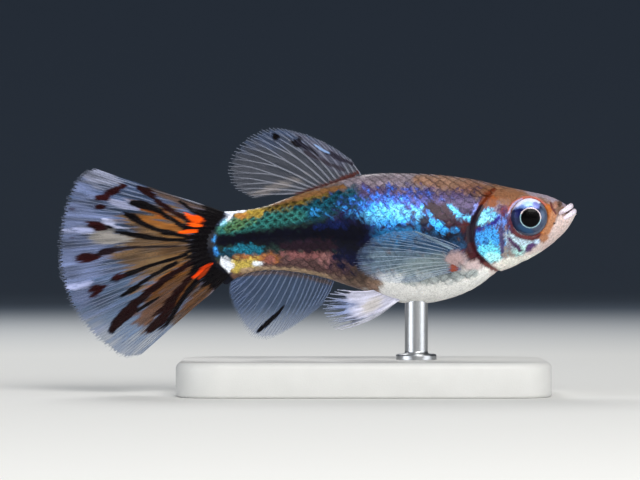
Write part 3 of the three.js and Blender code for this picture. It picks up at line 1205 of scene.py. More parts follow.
GREEN = Tone((0.17, 0.42, 0.40), gleam=0.4, rim=-0.9)
OLIVE = Tone((0.42, 0.35, 0.15), gleam=0.15, rim=-0.9)
CREAM = Tone((0.97, 0.96, 0.94), rim=0.03)
IVORY = Tone((0.86, 0.80, 0.78), rim=0.05)
WHITE = Tone((0.93, 0.95, 0.99), gleam=0.1, rim=0.1)
SILVER = Tone((0.66, 0.76, 0.82), gleam=0.45, rim=0.2)
PINK = Tone((0.38, 0.28, 0.28), gleam=0.1, rim=0.5)
SALMON = Tone((0.62, 0.38, 0.34), gleam=0.1, rim=0.3)
GOLD = Tone((0.80, 0.70, 0.34), gleam=0.25, rim=0.2)
UMBER = Tone((0.27, 0.22, 0.20), rim=0.3)
LIP = Tone((0.90, 0.86, 0.91))
IRIS = Tone((0.15, 0.18, 0.30), 0.3)

BODY_MARKS: tuple[Mark, ...] = (
    # back and nape
    Streak(
        ((560, 198), (520, 192), (480, 184), (440, 180), (400, 179), (350, 184)),
        (9, 12, 16, 17, 15, 8), MAUVE, 0.9,
    ),
    Streak(((500, 197), (470, 188), (440, 182), (418, 180)), (9, 10, 9, 5), TAN, 0.9, 0.5),
    Spot((478, 190), (20, 8), Tone((0.47, 0.32, 0.25)), 12, 0.9, 0.5, 0.7),
    Streak(
        ((352, 229), (300, 233), (250, 238), (212, 242)),
        (38, 31, 26, 26), Tone((0.11, 0.18, 0.17), 0.25), 0.5, 0.3,
    ),
    Streak(
        ((481, 204), (476, 214), (470, 228), (466, 246)),
        (7, 12, 15, 12), Tone((0.26, 0.17, 0.20), 0.1), 0.8, 0.6,
    ),
    # belly
    Streak(
        ((505, 276), (470, 285), (430, 292), (395, 292), (375, 288)), (14, 20, 26, 24, 13), CREAM, 0.8, 0.3,
    ),
    Streak(
        ((376, 285), (362, 281), (345, 277), (318, 271)), (7, 10, 9, 6), Tone((0.58, 0.47, 0.40)), 0.8, 0.5,
    ),
    Spot((360, 272), (17, 12), UMBER, 0, 0.9, 0.5, 0.9),
    # lower flank
    Streak(((340, 266), (305, 263), (275, 262), (250, 262)), (12, 12, 10, 8), PINK, 0.7, 0.5),
    Streak(
        ((334, 256), (318, 254), (300, 254), (286, 254)),
        (6, 4, 4, 3), Tone((0.52, 0.33, 0.33), 0.1), 0.9, 1.3,
    ),
    Spot((328, 257), (6, 7), Tone((0.66, 0.46, 0.45), 0.1, 0.3), 0, 0.9, 1.0),
    Streak(((278, 258), (262, 258), (240, 256)), (4, 5, 6), Tone((0.62, 0.39, 0.22)), 0.8, 1.0),
    Streak(((256, 264), (240, 265), (234, 266)), (6, 7, 6), GOLD, 0.6, 0.8),
    Spot((259, 263.5), (6, 2.6), WHITE, -8, 0.5, 0.3),
    Spot((272, 259), (6, 3.5), SALMON, -15, 0.7, 0.5),
    Streak(
        ((330, 278), (300, 271), (270, 269), (245, 271)), (3, 3, 3, 3), Tone((0.74, 0.62, 0.50)), 0.8, 0.4,
    ),
    # upper flank behind the dorsal fin
    Streak(
        ((360, 200), (330, 204), (300, 209), (270, 213), (245, 216), (228, 220)),
        (13, 14, 13, 11, 8, 7), TEAL, 0.7, 0.4,
    ),
    Streak(((300, 214), (270, 219), (245, 224), (226, 228)), (7, 9, 9, 8), GREEN, 0.8, 0.5),
    Spot((238, 223), (14, 6), Tone((0.34, 0.50, 0.34), 0.3, -0.9), -14, 0.9, 0.8),
    Streak(((325, 194), (300, 199), (280, 204), (260, 208), (240, 212)), (5, 6, 6, 6, 6), OLIVE, 0.6, 0.7),
    Streak(
        ((345, 187), (310, 195), (292, 199), (275, 204)), (2, 3, 3, 2), Tone((0.50, 0.35, 0.21)), 0.8, 0.6,
    ),
    Streak(
        ((262, 212), (250, 213.5), (240, 215)), (4, 4.5, 3), Tone((0.66, 0.55, 0.23), rim=-0.4), 0.7, 0.7,
    ),
    Spot((243, 215), (5, 3), Tone((0.74, 0.50, 0.25)), 0, 0.7, 0.5),
    # violet and blue on the shoulder
    Streak(
        ((474, 212), (430, 217), (390, 221), (350, 222)),
        (19, 22, 23, 22), Tone((0.13, 0.12, 0.27), 0.3), 0.7, 0.7,
    ),
    Streak(
        ((472, 205), (460, 202), (440, 202), (420, 203), (395, 196), (365, 192)),
        (6, 9, 11, 12, 8, 7), VIOLET, 0.9, 0.9,
    ),
    Streak(
        ((430, 205), (405, 203), (382, 203), (364, 206)),
        (9, 11, 9, 3), Tone((0.24, 0.29, 0.58), 0.45, 0.5), 0.9, 1.3,
    ),
    Spot((392, 216), (40, 17), BLUE, 4, 0.6, 1.0),
    Spot((392, 218), (39, 11), CYAN, 5, 0.6, 1.4),
    Spot((405, 213), (20, 6), ICE, 8, 0.9, 1.6, 0.5),
    Spot((372, 219), (17, 6), ICE, 0, 0.9, 1.6, 0.4),
    Streak(((432, 213), (440, 224), (446, 232)), (5, 4, 3), CYAN, 0.6, 0.7),
    # dark shoulder
    Streak(
        ((468, 238), (455, 226), (440, 214), (432, 206)),
        (13, 13, 10, 6), Tone((0.20, 0.11, 0.17), 0.15), 0.7, 0.9,
    ),
    Spot((471, 262), (10, 10), Tone((0.80, 0.72, 0.72), rim=0.05), 0, 0.8, 0.3),
    # painted shade: a grey band on the belly along the breast fin's lower edge, the fin's shadow
    Streak(((474, 273), (445, 277), (408, 279)), (3, 6, 5), Tone((0.66, 0.69, 0.69), rim=0.4), 1.0, 0.5),
    Streak(
        ((462, 250), (457, 260), (452, 270)), (1.6, 2.4, 1.6), Tone((0.48, 0.18, 0.14), rim=0.05), 0.7, 0.5,
    ),
    Streak(((467, 222), (466, 240), (470, 256)), (6, 7, 5), MAROON, 0.6, 0.4),
    Streak(((440, 246), (425, 238), (412, 230), (400, 228)), (10, 10, 7, 4), NAVY, 0.6, 0.6),
    Spot((424, 222), (5.5, 6), NAVY, 30, 0.5, 0.5),
    Spot((438, 225), (4, 5), NAVY, 0, 0.5, 0.5),
    Spot((466, 215), (4, 5.5), Tone((0.18, 0.10, 0.25), 0.2), 0, 0.6, 0.6),
    Streak(
        ((449, 205), (456, 212), (462, 217), (468, 220)),
        (1.4, 2.2, 2.8, 2.0), Tone((0.34, 0.72, 0.94), 0.5), 0.7, 1.2,
    ),
    Streak(((475, 207), (476, 212), (472, 217)), (3, 3.5, 3), Tone((0.55, 0.62, 0.95), 0.5), 0.6, 0.6),
    Spot((445, 238), (21, 9), Tone((0.05, 0.055, 0.12), 0.2), 12, 0.6, 0.6),
    Streak(((433, 222), (441, 230), (449, 231), (456, 229)), (2.4, 3.6, 2.2, 1.6), CYAN, 0.7, 1.5),
    Streak(((440, 222), (443, 235)), (2.2, 2.4), CYAN, 0.7, 1.3),
    # flank above the belly, seen through the breast fin
    Streak(
        ((455, 250), (430, 247), (400, 244), (372, 240)),
        (11, 12, 13, 12), Tone((0.13, 0.25, 0.38), 0.35), 0.8, 0.7,
    ),
    Streak(((418, 232), (398, 233), (378, 236)), (5, 7, 6), Tone((0.15, 0.44, 0.66), 0.5), 0.9, 1.2),
    Streak(
        ((455, 262), (425, 264), (395, 262), (370, 260)),
        (9, 10, 11, 10), Tone((0.40, 0.46, 0.50), 0.2), 0.9, 0.5,
    ),
    Spot((455, 259), (9, 8), Tone((0.66, 0.56, 0.56), rim=0.05), 0, 0.8, 0.4),
    Spot((352, 243), (24, 27), NAVY, 10, 0.5, 0.45),
    Streak(
        ((352, 236), (325, 236), (295, 236.5), (262, 238), (236, 240), (214, 241)),
        (15, 13, 10, 7.5, 6, 5.5), BLACK, 0.6, 0.5,
    ),
    Streak(((330, 245), (305, 246), (285, 246)), (7, 6, 4), Tone((0.13, 0.07, 0.12), 0.15, 0.3), 0.7, 0.9),
    Streak(((345, 225), (330, 225), (318, 227)), (4, 3, 2.4), Tone((0.06, 0.10, 0.27), 0.4), 0.8, 0.9),
    # below the stripe, and the tail's base
    Streak(
        ((262, 250), (250, 249), (238, 250), (225, 254)),
        (4, 5, 5, 4), Tone((0.12, 0.46, 0.56), 0.5), 0.6, 0.7,
    ),
    Streak(((232, 254), (222, 254), (216, 250)), (4, 4, 4), Tone((0.09, 0.24, 0.31), 0.5), 0.7, 0.8),
    Spot((226, 215), (8, 7), WHITE, 30, 0.5, 0.4),
    Streak(((245, 210.5), (232, 211), (220, 212)), (2, 3, 3), WHITE, 0.6, 0.4),
    Spot((223, 222), (4.5, 4), Tone((0.62, 0.88, 0.98), 0.3), 0, 0.6, 0.5),
    Spot((227, 265), (7.5, 7), WHITE, 20, 0.5, 0.4),
    Streak(((216, 269), (224, 278), (234, 286)), (6, 6, 6), BLACK, 0.5, 0.3),
    Spot((213, 238), (4, 4), CYAN, 0, 0.6, 0.6),
    Spot((214, 251), (5, 4.5), Tone((0.25, 0.60, 0.95), 0.6), 20, 0.6, 0.7),
    Streak(((220, 212), (209, 224), (205, 243), (209, 262), (222, 276)), (5, 7, 8, 8, 6), BLACK),
    Streak(((199, 205), (193, 243), (199, 285)), (11, 11, 11), BLACK, 0.5, 0.2),
)

HEAD_MARKS: tuple[Mark, ...] = (
    Streak(
        ((566, 202), (545, 200), (520, 195), (497, 192)), (9, 8, 9, 9), Tone((0.50, 0.38, 0.31)), 0.9, 0.3,
    ),
    # painted sheen: a pale lavender band along the top of the snout, lit from above
    Streak(
        ((567, 202), (556, 199), (540, 195), (518, 190)),
        (6, 5, 3.4, 2), Tone((0.60, 0.55, 0.60)), 1.4, 0.7,
    ),
    Streak(((520, 196), (505, 196), (490, 196)), (7, 8, 8), Tone((0.50, 0.34, 0.24)), 0.9, 0.4),
    Spot((490, 203), (9, 6), Tone((0.52, 0.26, 0.07)), 0, 0.8, 0.7),
    Spot((505, 205), (9, 7), Tone((0.50, 0.33, 0.23)), 0, 0.8, 0.5),
    # cheek
    Streak(
        ((500, 215), (505, 230), (510, 245), (505, 262)),
        (9, 9, 11, 9), Tone((0.52, 0.50, 0.56), 0.25), 0.7, 0.4,
    ),
    Streak(((504, 212), (506, 222), (512, 233)), (6, 6, 5), Tone((0.48, 0.22, 0.22)), 0.7, 0.5),
    Spot((517, 240), (17, 9), SILVER, 30, 0.5, 0.8),
    Streak(((508, 233), (518, 241), (530, 245)), (4, 5, 4), Tone((0.72, 0.82, 0.88), 0.4), 0.7, 0.6),
    Spot((520, 253), (11, 7), Tone((0.70, 0.87, 0.86), 0.3), -10, 0.6, 0.3),
    Spot((531, 248), (9, 4.5), Tone((0.34, 0.24, 0.42), 0.1), -28, 0.5, 0.3),
    Spot((536.5, 240), (4, 4.5), Tone((0.76, 0.86, 0.96), 0.3), 0, 0.6, 0.3),
    Streak(((507, 238), (513, 244), (519, 250)), (1.6, 2.6, 1.6), DUSK, 0.7, 0.8),
    Streak(((503, 252), (510, 258)), (5, 5), Tone((0.56, 0.52, 0.50)), 0.8, 0.4),
    # jaw and throat
    Streak(
        ((574, 217), (566, 226), (552, 243), (535, 257), (515, 266), (497, 272)),
        (7, 11, 10, 8, 8, 8), IVORY, 0.5, 0.2,
    ),
    Streak(((562, 222), (554, 234), (545, 246)), (7, 6, 5), Tone((0.82, 0.74, 0.72)), 0.8, 0.2),
    Streak(((540, 256), (520, 262), (500, 264)), (4, 5, 6), Tone((0.94, 0.93, 0.89)), 0.8, 0.3),
    # socket
    Streak(arc((527.3, 217.8), (21.0, 20.0), -40, 60), (1.6, 4.0, 4.6, 4.0), Tone((0.70, 0.40, 0.18)), 0.7),
    Streak(arc((527.3, 217.8), (21.0, 20.0), 60, 185), (2.4, 2.8, 3.2, 2.6), Tone((0.36, 0.16, 0.17)), 0.7),
    Streak(
        arc((527.3, 217.8), (21.0, 20.0), 185, 320), (2.6, 2.0, 1.6, 1.6), Tone((0.66, 0.36, 0.30)), 0.8,
    ),
    # painted highlight: a lavender-white arc along the upper left of the socket's rim
    Streak(
        arc((527.3, 217.8), (20.4, 19.4), 180, 250),
        (0.8, 2.4, 2.4, 1.0), Tone((0.70, 0.66, 0.80), 0.2), 0.8, 0.3,
    ),
    Streak(((552, 214), (549, 222), (545, 231)), (3, 3.8, 3.6), Tone((0.70, 0.48, 0.34)), 1.0, 0.5),
    Spot((543, 238.5), (5, 4), Tone((0.66, 0.46, 0.34)), -30, 0.7, 0.3),
    Streak(((549.5, 203), (551, 208), (554.5, 214)), (0.8, 1.4, 0.8), Tone((0.38, 0.18, 0.18)), 0.8, 0.3),
    Spot((558.5, 204), (3.0, 3.6), Tone((0.32, 0.24, 0.20)), 20, 0.8, 0.2),
    Spot((554.5, 205), (2.6, 4.0), Tone((0.60, 0.44, 0.38)), 20, 0.8, 0.2),
    Spot((553, 223.5), (1.2, 0.9), UMBER, 0, 0.8, 0.2),
    # gill cover
    Spot((499, 224), (9, 13), DUSK, 15, 0.8, 1.0, 0.9),
    Streak(((482, 215), (487, 214), (493, 217)), (4, 5.5, 3.5), Tone((0.42, 0.74, 0.93), 0.5), 0.6, 0.9),
    Streak(((479, 222), (485, 219), (490, 221)), (5, 5.5, 3.5), Tone((0.52, 0.82, 0.95), 0.5), 0.6, 0.9),
    Spot((497, 224), (6, 6), Tone((0.36, 0.50, 0.78), 0.5), 30, 0.6, 1.6),
    Streak(
        ((475, 231), (483, 227), (492, 223), (497, 218)),
        (2.0, 2.2, 2.2, 1.5), Tone((0.17, 0.16, 0.50), 0.3), 0.6, 0.6,
    ),
    Spot((487, 241), (14, 13), Tone((0.24, 0.58, 0.88), 0.55), 0, 0.4, 0.6),
    Spot((489, 252), (12, 9), Tone((0.42, 0.84, 0.97), 0.45), 15, 0.6, 0.6),
    Spot((492, 257), (8, 5), Tone((0.66, 0.95, 0.98), 0.35), 10, 0.8, 0.3),
    Spot((484, 242.5), (3, 2), Tone((0.16, 0.40, 0.66), 0.5), 0, 0.8, 0.6),
    Streak(((499, 226), (500, 238), (501, 252)), (1.7, 2.3, 1.8), Tone((0.28, 0.26, 0.42), 0.2), 0.9, 0.9),
    # gill opening
    Streak(
        ((495, 189.5), (488, 194), (482, 203), (478, 210)),
        (1.2, 3.0, 3.8, 2.8), Tone((0.42, 0.18, 0.08)), 0.6, 0.3,
    ),
    Streak(
        ((480, 207), (474, 217), (470, 226), (469, 238), (471, 250)),
        (2.2, 3.6, 4.2, 4.4, 4.0), Tone((0.11, 0.06, 0.12), 0.1), 0.7, 0.3,
    ),
    Streak(
        ((470, 246), (473, 253), (480, 260), (488, 266)),
        (3.6, 3.8, 3.6, 2.2), Tone((0.24, 0.07, 0.11)), 0.6, 0.3,
    ),
    Streak(((484, 263), (491, 268), (498, 271)), (1.6, 1.8, 0.9), Tone((0.52, 0.30, 0.28)), 0.8, 0.3),
)

EYE_MARKS: tuple[Mark, ...] = (
    Streak(
        arc((529, 217.5), (17.6, 17.0), 0, 360, 24), (1.6, 1.6), Tone((0.46, 0.50, 0.58), 0.5), 0.8, 0.2,
    ),
    Spot((517, 211), (8, 6.5), Tone((0.09, 0.11, 0.32), 0.3), 20, 0.8, 0.3),
    Streak(((512, 214), (513, 222), (518, 229)), (3.5, 3.5, 3), Tone((0.21, 0.26, 0.40), 0.3), 0.8, 0.3),
    Spot((526, 229), (9, 4), Tone((0.20, 0.32, 0.46), 0.4), 15, 0.9, 0.4),
    Spot((537, 227), (5, 5), Tone((0.30, 0.34, 0.42), 0.3), 0, 0.9, 0.3),
    Spot((543, 217), (3.5, 9), Tone((0.30, 0.35, 0.44), 0.4), 0, 0.9, 0.3),
    Streak(
        ((513, 208), (520, 205), (528, 204), (536, 204.5)),
        (2.6, 3.6, 4.0, 3.0), Tone((0.46, 0.58, 0.86), 0.3), 0.9, 0.3,
    ),
    # painted highlight: a white crescent and a pale blue spot across the top of the iris, the reflection of
    # the light from above
    Streak(
        ((510, 210), (514, 205), (522, 202), (531, 201), (539, 202.5)),
        (3.0, 3.6, 3.2, 2.8, 1.8), Tone((0.90, 0.92, 0.99), 0.1), 0.8, 0.2,
    ),
    Spot((528, 204), (5, 2.6), Tone((0.72, 0.86, 1.0), 0.2), 0, 0.9, 0.4),
    Spot((536, 206), (3.4, 3), Tone((0.52, 0.56, 0.86), 0.3), 0, 0.9, 0.4),
    Streak(
        arc((530.5, 218), (9.8, 9.5), -160, 10), (0.45, 0.8, 0.4), Tone((0.93, 0.87, 0.88), 0.1), 0.6, 0.1,
    ),
    Streak(
        arc((530.5, 218), (9.8, 9.5), 10, 200), (0.4, 0.55, 0.45), Tone((0.66, 0.80, 0.84), 0.3), 0.6, 0.1,
    ),
    Spot((530.5, 218), (9.3, 9.1), Tone((0.004, 0.003, 0.008)), 0, 0.12, 0.03),
)
LIP_MARKS: tuple[Mark, ...] = (
    Spot((560, 214), (4, 3), Tone((0.74, 0.68, 0.72)), 0, 1.0, 0.2),
)

CLEAR = Tone((0.34, 0.42, 0.58), veil=0.20)
FROST = Tone((0.46, 0.51, 0.66), gleam=0.1, veil=0.37)
INK = Tone((0.045, 0.035, 0.045), veil=0.97)
WINE = Tone((0.15, 0.05, 0.06), veil=0.95)
TAWNY = Tone((0.42, 0.33, 0.24), veil=0.72)
BRONZE = Tone((0.38, 0.25, 0.13), veil=0.80)
FLAME = Tone((0.95, 0.33, 0.04), veil=1.0)

TAIL_MARKS: tuple[Mark, ...] = (
    Spot((130, 320), (110, 60), Tone((0.36, 0.44, 0.56), veil=0.45), 0, 1.0, 0.2),
    Spot((80, 240), (34, 80), FROST, 0, 0.9, 0.4),
    Spot((100, 175), (22, 10), Tone((0.66, 0.68, 0.78), veil=0.4), 20, 0.9, 0.4),
    Spot((160, 243), (44, 46), TAWNY, 0, 0.5, 0.35),
    Spot((110, 235), (17, 10), Tone((0.62, 0.60, 0.58), veil=0.6), 0, 0.9, 0.6),
    Streak(((150, 224), (170, 234), (190, 238)), (6, 6, 5), Tone((0.48, 0.35, 0.21), veil=0.85), 0.8, 0.5),
    Streak(((135, 219), (155, 222), (178, 229)), (3, 5, 4), Tone((0.54, 0.34, 0.16), veil=0.9), 0.8, 0.5),
    Streak(((140, 205), (160, 213), (180, 222)), (3, 4, 3), Tone((0.56, 0.31, 0.12), veil=0.9), 0.8, 0.5),
    Streak(((155, 290), (172, 277), (188, 265)), (7, 6, 4), Tone((0.50, 0.29, 0.12), veil=0.9), 0.8, 0.5),
    Streak(((175, 300), (186, 288), (198, 276)), (5, 5, 4), Tone((0.60, 0.30, 0.10), veil=0.9), 0.8, 0.5),
    Streak(((150, 265), (170, 258), (190, 253)), (4, 5, 4), Tone((0.42, 0.34, 0.24), veil=0.85), 0.8, 0.5),
    Spot((176, 252), (16, 12), BRONZE, 0, 1.0, 0.6, 0.5),
    Streak(((150, 318), (170, 292), (196, 268)), (12, 14, 10), BRONZE, 0.8, 0.5, 0.9),
    Streak(((150, 187), (180, 201), (212, 210)), (4, 5, 5), Tone((0.34, 0.27, 0.24), veil=0.5), 0.9, 0.5),
    # painted highlights: pale bluish-white streaks on the web
    Streak(((60, 231), (75, 229), (92, 230)), (2, 3, 2), Tone((0.72, 0.75, 0.90), veil=0.48), 0.9, 0.8),
    Streak(((104, 221), (118, 227), (132, 231)), (2.4, 3, 2), Tone((0.74, 0.76, 0.88), veil=0.5), 0.9, 0.8),
    Streak(((63, 290), (80, 287), (94, 281)), (3, 4, 2), Tone((0.70, 0.73, 0.88), veil=0.46), 0.9, 0.8),
    Streak(((112, 201), (124, 205), (136, 210)), (3, 4, 2), Tone((0.62, 0.64, 0.76), veil=0.45), 0.9, 0.8),
    Streak(((178, 320), (194, 302), (210, 286)), (7, 8, 7), Tone((0.34, 0.23, 0.14), veil=0.62), 1.0, 0.5),
    # dark streaks along the rays, from the margin to the root
    Streak(
        ((138, 188), (146, 191), (156, 200), (172, 211), (192, 222)),
        (2.5, 4.5, 3.4, 2.4, 2.4), Tone((0.12, 0.045, 0.05), veil=0.97), 0.4,
    ),
    Streak(
        ((131, 203), (142, 204), (154, 208), (170, 218), (188, 230)), (2.0, 4.0, 3.4, 2.2, 2.4), INK, 0.4,
    ),
    Streak(
        ((124, 212), (132, 217), (146, 225), (160, 231), (186, 236)), (1.6, 3.6, 3.0, 2.6, 2.0), INK, 0.4,
    ),
    Streak(
        ((115, 232), (128, 233), (146, 237), (164, 239), (188, 241)),
        (1.6, 3.0, 2.4, 1.6, 1.8), INK, 0.4, 0.3,
    ),
    Streak(
        ((104, 250), (116, 249), (140, 247), (180, 246)),
        (2.0, 2.8, 1.2, 1.0), Tone((0.14, 0.11, 0.12), veil=0.8), 0.6, 0.4,
    ),
    Streak(
        ((112, 280), (118, 278), (124, 276), (150, 266), (188, 254)), (2.0, 4.0, 3.0, 1.6, 1.8), INK, 0.4,
    ),
    Streak(((122, 296), (136, 287), (152, 276), (176, 263)), (1.4, 2.4, 2.2, 2.0), INK, 0.5, 0.3),
    Streak(
        ((112, 331), (118, 322), (128, 311), (142, 298), (162, 281), (196, 260)),
        (3.0, 5.5, 5.0, 3.6, 3.0, 2.4), Tone((0.10, 0.04, 0.045), veil=0.97), 0.4,
    ),
    Streak(((138, 311), (147, 305), (158, 298)), (1.0, 1.6, 1.0), INK, 0.6, 0.4),
    Streak(
        ((150, 329), (158, 322), (166, 312), (173, 298), (186, 282), (202, 266)),
        (4.0, 7.5, 6.5, 4.0, 3.2, 3.0), Tone((0.11, 0.045, 0.045), veil=0.97), 0.4,
    ),
    Streak(((166, 325), (176, 310), (188, 291), (202, 276)), (1.6, 2.4, 2.4, 2.0), INK),
    Streak(((180, 201), (192, 211), (205, 216)), (1.4, 2.4, 3.0), INK),
    # outer spots
    Streak(((97, 198), (106, 196), (116, 190), (125, 186)), (2.6, 4.4, 4.0, 2.2), WINE, 0.4, 0.45),
    Spot((99, 207.5), (6.5, 3.2), WINE, -8, 0.5, 0.4),
    Spot((97, 226), (10.5, 4.2), WINE, 12, 0.45, 0.4),
    Spot((110, 227), (5, 1.6), INK, 12, 0.7, 0.4),
    Spot((88, 258), (10.5, 4.2), WINE, -6, 0.45, 0.4),
    Spot((106, 251), (8, 3.4), Tone((0.10, 0.06, 0.08), veil=0.9), -8, 0.6, 0.4),
    Spot((97, 290), (9, 6.5), WINE, -20, 0.45, 0.45),
    Spot((118, 278), (7, 4.5), WINE, -20, 0.5, 0.4),
    Spot((72, 209), (3, 1.4), WINE, 0, 0.8, 0.4, 0.7),
    Spot((73, 238), (3.4, 1.3), WINE, 0, 0.8, 0.4, 0.7),
    # black root with flames
    Streak(((222, 206), (211, 222), (208, 243), (212, 264), (226, 282)), (9, 10, 10, 10, 9), INK, 0.3, 0.2),
    Streak(
        ((214, 206), (201, 220), (196, 243), (201, 266), (218, 284)), (8, 10, 10, 10, 8), INK, 0.35, 0.5,
    ),
    Spot((196.5, 220), (6, 5), FLAME, 25, 0.4, 0.6),
    Streak(((197, 221), (191, 217), (186, 213.5)), (2.6, 2.6, 1.2), FLAME, 0.5, 0.6),
    Streak(((196, 231), (189, 232), (181, 232.5)), (1.6, 2.2, 1.1), FLAME, 0.5, 0.5),
    Streak(
        ((214, 263), (206, 267), (200, 272), (194, 277)),
        (0.7, 1.4, 1.9, 1.2), Tone((0.84, 0.24, 0.05)), 0.5, 0.6,
    ),
    Streak(((209, 268), (204, 273), (200, 278)), (0.8, 1.6, 1.0), Tone((0.60, 0.20, 0.06)), 0.6, 0.6),
)
DORSAL_MARKS: tuple[Mark, ...] = (
    Streak(
        ((345, 180), (305, 176), (250, 178)), (34, 38, 38), Tone((0.38, 0.385, 0.42), veil=0.2), 1.0, 0.2,
    ),
    Spot((325, 152), (26, 11), Tone((0.42, 0.42, 0.50), veil=0.28), 33, 0.9, 0.4),
    Streak(
        ((358, 173), (330, 184), (300, 194), (280, 199)),
        (2.4, 2.2, 1.8, 1.2), Tone((0.30, 0.16, 0.15), veil=0.85), 0.8, 0.5,
    ),
    Streak(
        ((352, 164), (335, 156), (318, 148)), (1.4, 2.4, 1.6), Tone((0.16, 0.15, 0.20), veil=0.8), 0.7, 0.4,
    ),
    Streak(
        ((344, 170), (325, 162), (305, 152)), (1.6, 2.0, 1.4), Tone((0.22, 0.20, 0.24), veil=0.7), 0.8, 0.5,
    ),
    # painted highlight: a thin pale blue line on the front of the fin
    Streak(
        ((315, 145), (321, 149), (329, 153)), (0.8, 1.4, 0.8), Tone((0.56, 0.68, 0.86), veil=0.6), 0.9, 0.5,
    ),
    Spot((298, 142), (5, 4.4), INK, 35, 0.5, 0.4),
    Spot((275.5, 137), (4.4, 4.4), INK, 60, 0.5, 0.4),
    Streak(
        ((298, 142), (310, 149), (318, 156)), (2.2, 1.8, 1.2), Tone((0.12, 0.11, 0.16), veil=0.7), 0.8, 0.4,
    ),
    Spot((275, 187), (22, 4), Tone((0.66, 0.62, 0.60), veil=0.4), -18, 1.0, 0.6, 0.6),
)
ANAL_MARKS: tuple[Mark, ...] = (
    Spot((285, 300), (45, 36), Tone((0.33, 0.41, 0.54), veil=0.2), -20, 0.9, 0.2),
    Streak(((284, 306), (276, 315), (267, 323), (258, 331)), (0.9, 1.8, 2.8, 1.4), INK, 0.6, 0.3),
    Streak(
        ((330, 283), (300, 275), (270, 272), (240, 275)),
        (2, 2, 2, 2), Tone((0.42, 0.36, 0.36), veil=0.35), 0.8, 0.3,
    ),
)
PECTORAL_MARKS: tuple[Mark, ...] = (
    Spot((405, 258), (48, 26), Tone((0.42, 0.56, 0.68), veil=0.07), 0, 0.9, 0.3),
    Spot((425, 265), (30, 10), Tone((0.58, 0.65, 0.66), veil=0.16), -8, 1.0, 0.3),
    Streak(
        ((455, 251), (435, 241), (413, 231)), (1.2, 1.4, 1.0), Tone((0.60, 0.70, 0.78), veil=0.6), 0.9, 0.3,
    ),
    Streak(((460, 255), (456, 262), (452, 269)), (4, 5, 4), Tone((0.52, 0.26, 0.20), veil=1.0), 0.8, 0.4),
    Spot((458, 262), (4, 3), Tone((0.80, 0.50, 0.44), veil=1.0), 0, 0.9, 0.4),
)
PELVIC_MARKS: tuple[Mark, ...] = (
    Spot((372, 300), (40, 20), Tone((0.84, 0.84, 0.92), veil=0.74), 0, 0.9, 0.2),
    Spot((336, 306), (16, 10), Tone((0.54, 0.60, 0.76), veil=0.55), 0, 1.0, 0.3),
    Streak(
        ((395, 303), (375, 318), (355, 326), (337, 330)),
        (2.4, 3.0, 3.0, 2.0), Tone((0.93, 0.93, 0.99), veil=0.95), 0.7, 0.2,
    ),
    Spot((372, 305), (12, 6), Tone((0.80, 0.78, 0.78), veil=0.85), -35, 0.9, 0.2),
)


@dataclass(frozen=True)
class Fold:
    """A groove or ridge in the skin, seen from the side.

    Attributes:
        line: Its run, as places behind and up.
        rise: How far the skin stands out at its middle; below 0 for a groove.
        half: Half its width.
        fades: Shares of its length over which its two ends die away.
    """

    line: tuple[Place, ...]
    rise: float
    half: float
    fades: Place = (0.2, 0.2)

    def relief(self, behind: Array, up: Array) -> Array:
        """Works out how far it makes the skin stand out.

        Args:
            behind: Distances behind the lip.
            up: Heights above the axis.

        Returns:
            The rise at each place.
        """
        distance, along, _ = line_reach(behind, up, self.line)
        share = along / (len(self.line) - 1)
        ends = smoothstep(0, self.fades[0], share) * smoothstep(1, 1 - self.fades[1], share)
        return self.rise * ends * np.exp(-((distance / self.half) ** 2))


FOLDS = (
    Fold(((-0.2, 2.6), (0.83, 2.08), (1.45, 1.72)), rise=-0.34, half=0.12, fades=(0.01, 0.2)),
    Fold(((1.45, 1.72), (2.1, 0.9), (2.6, -0.1), (3.6, -1.6)), rise=-0.07, half=0.16, fades=(0.1, 0.4)),
    Fold(((1.9, 3.2), (1.55, 2.6), (1.5, 2.0), (1.75, 1.5)), rise=-0.06, half=0.12),
    Fold(((1.2, 2.9), (1.25, 2.3), (1.45, 1.9)), rise=0.05, half=0.2),
    Fold(((1.64, 3.08), (1.66, 2.78)), rise=-0.16, half=0.13),
    Fold(COVER_FRONT, rise=-0.08, half=0.14, fades=(0.15, 0.3)),
    Fold(((5.9, -1.2), (5.3, -2.0), (4.2, -2.4), (3.2, -2.2)), rise=-0.05, half=0.2, fades=(0.3, 0.3)),
    Fold(((6.3, 0.6), (6.0, 2.0), (5.7, 3.1)), rise=-0.03, half=0.25),
)


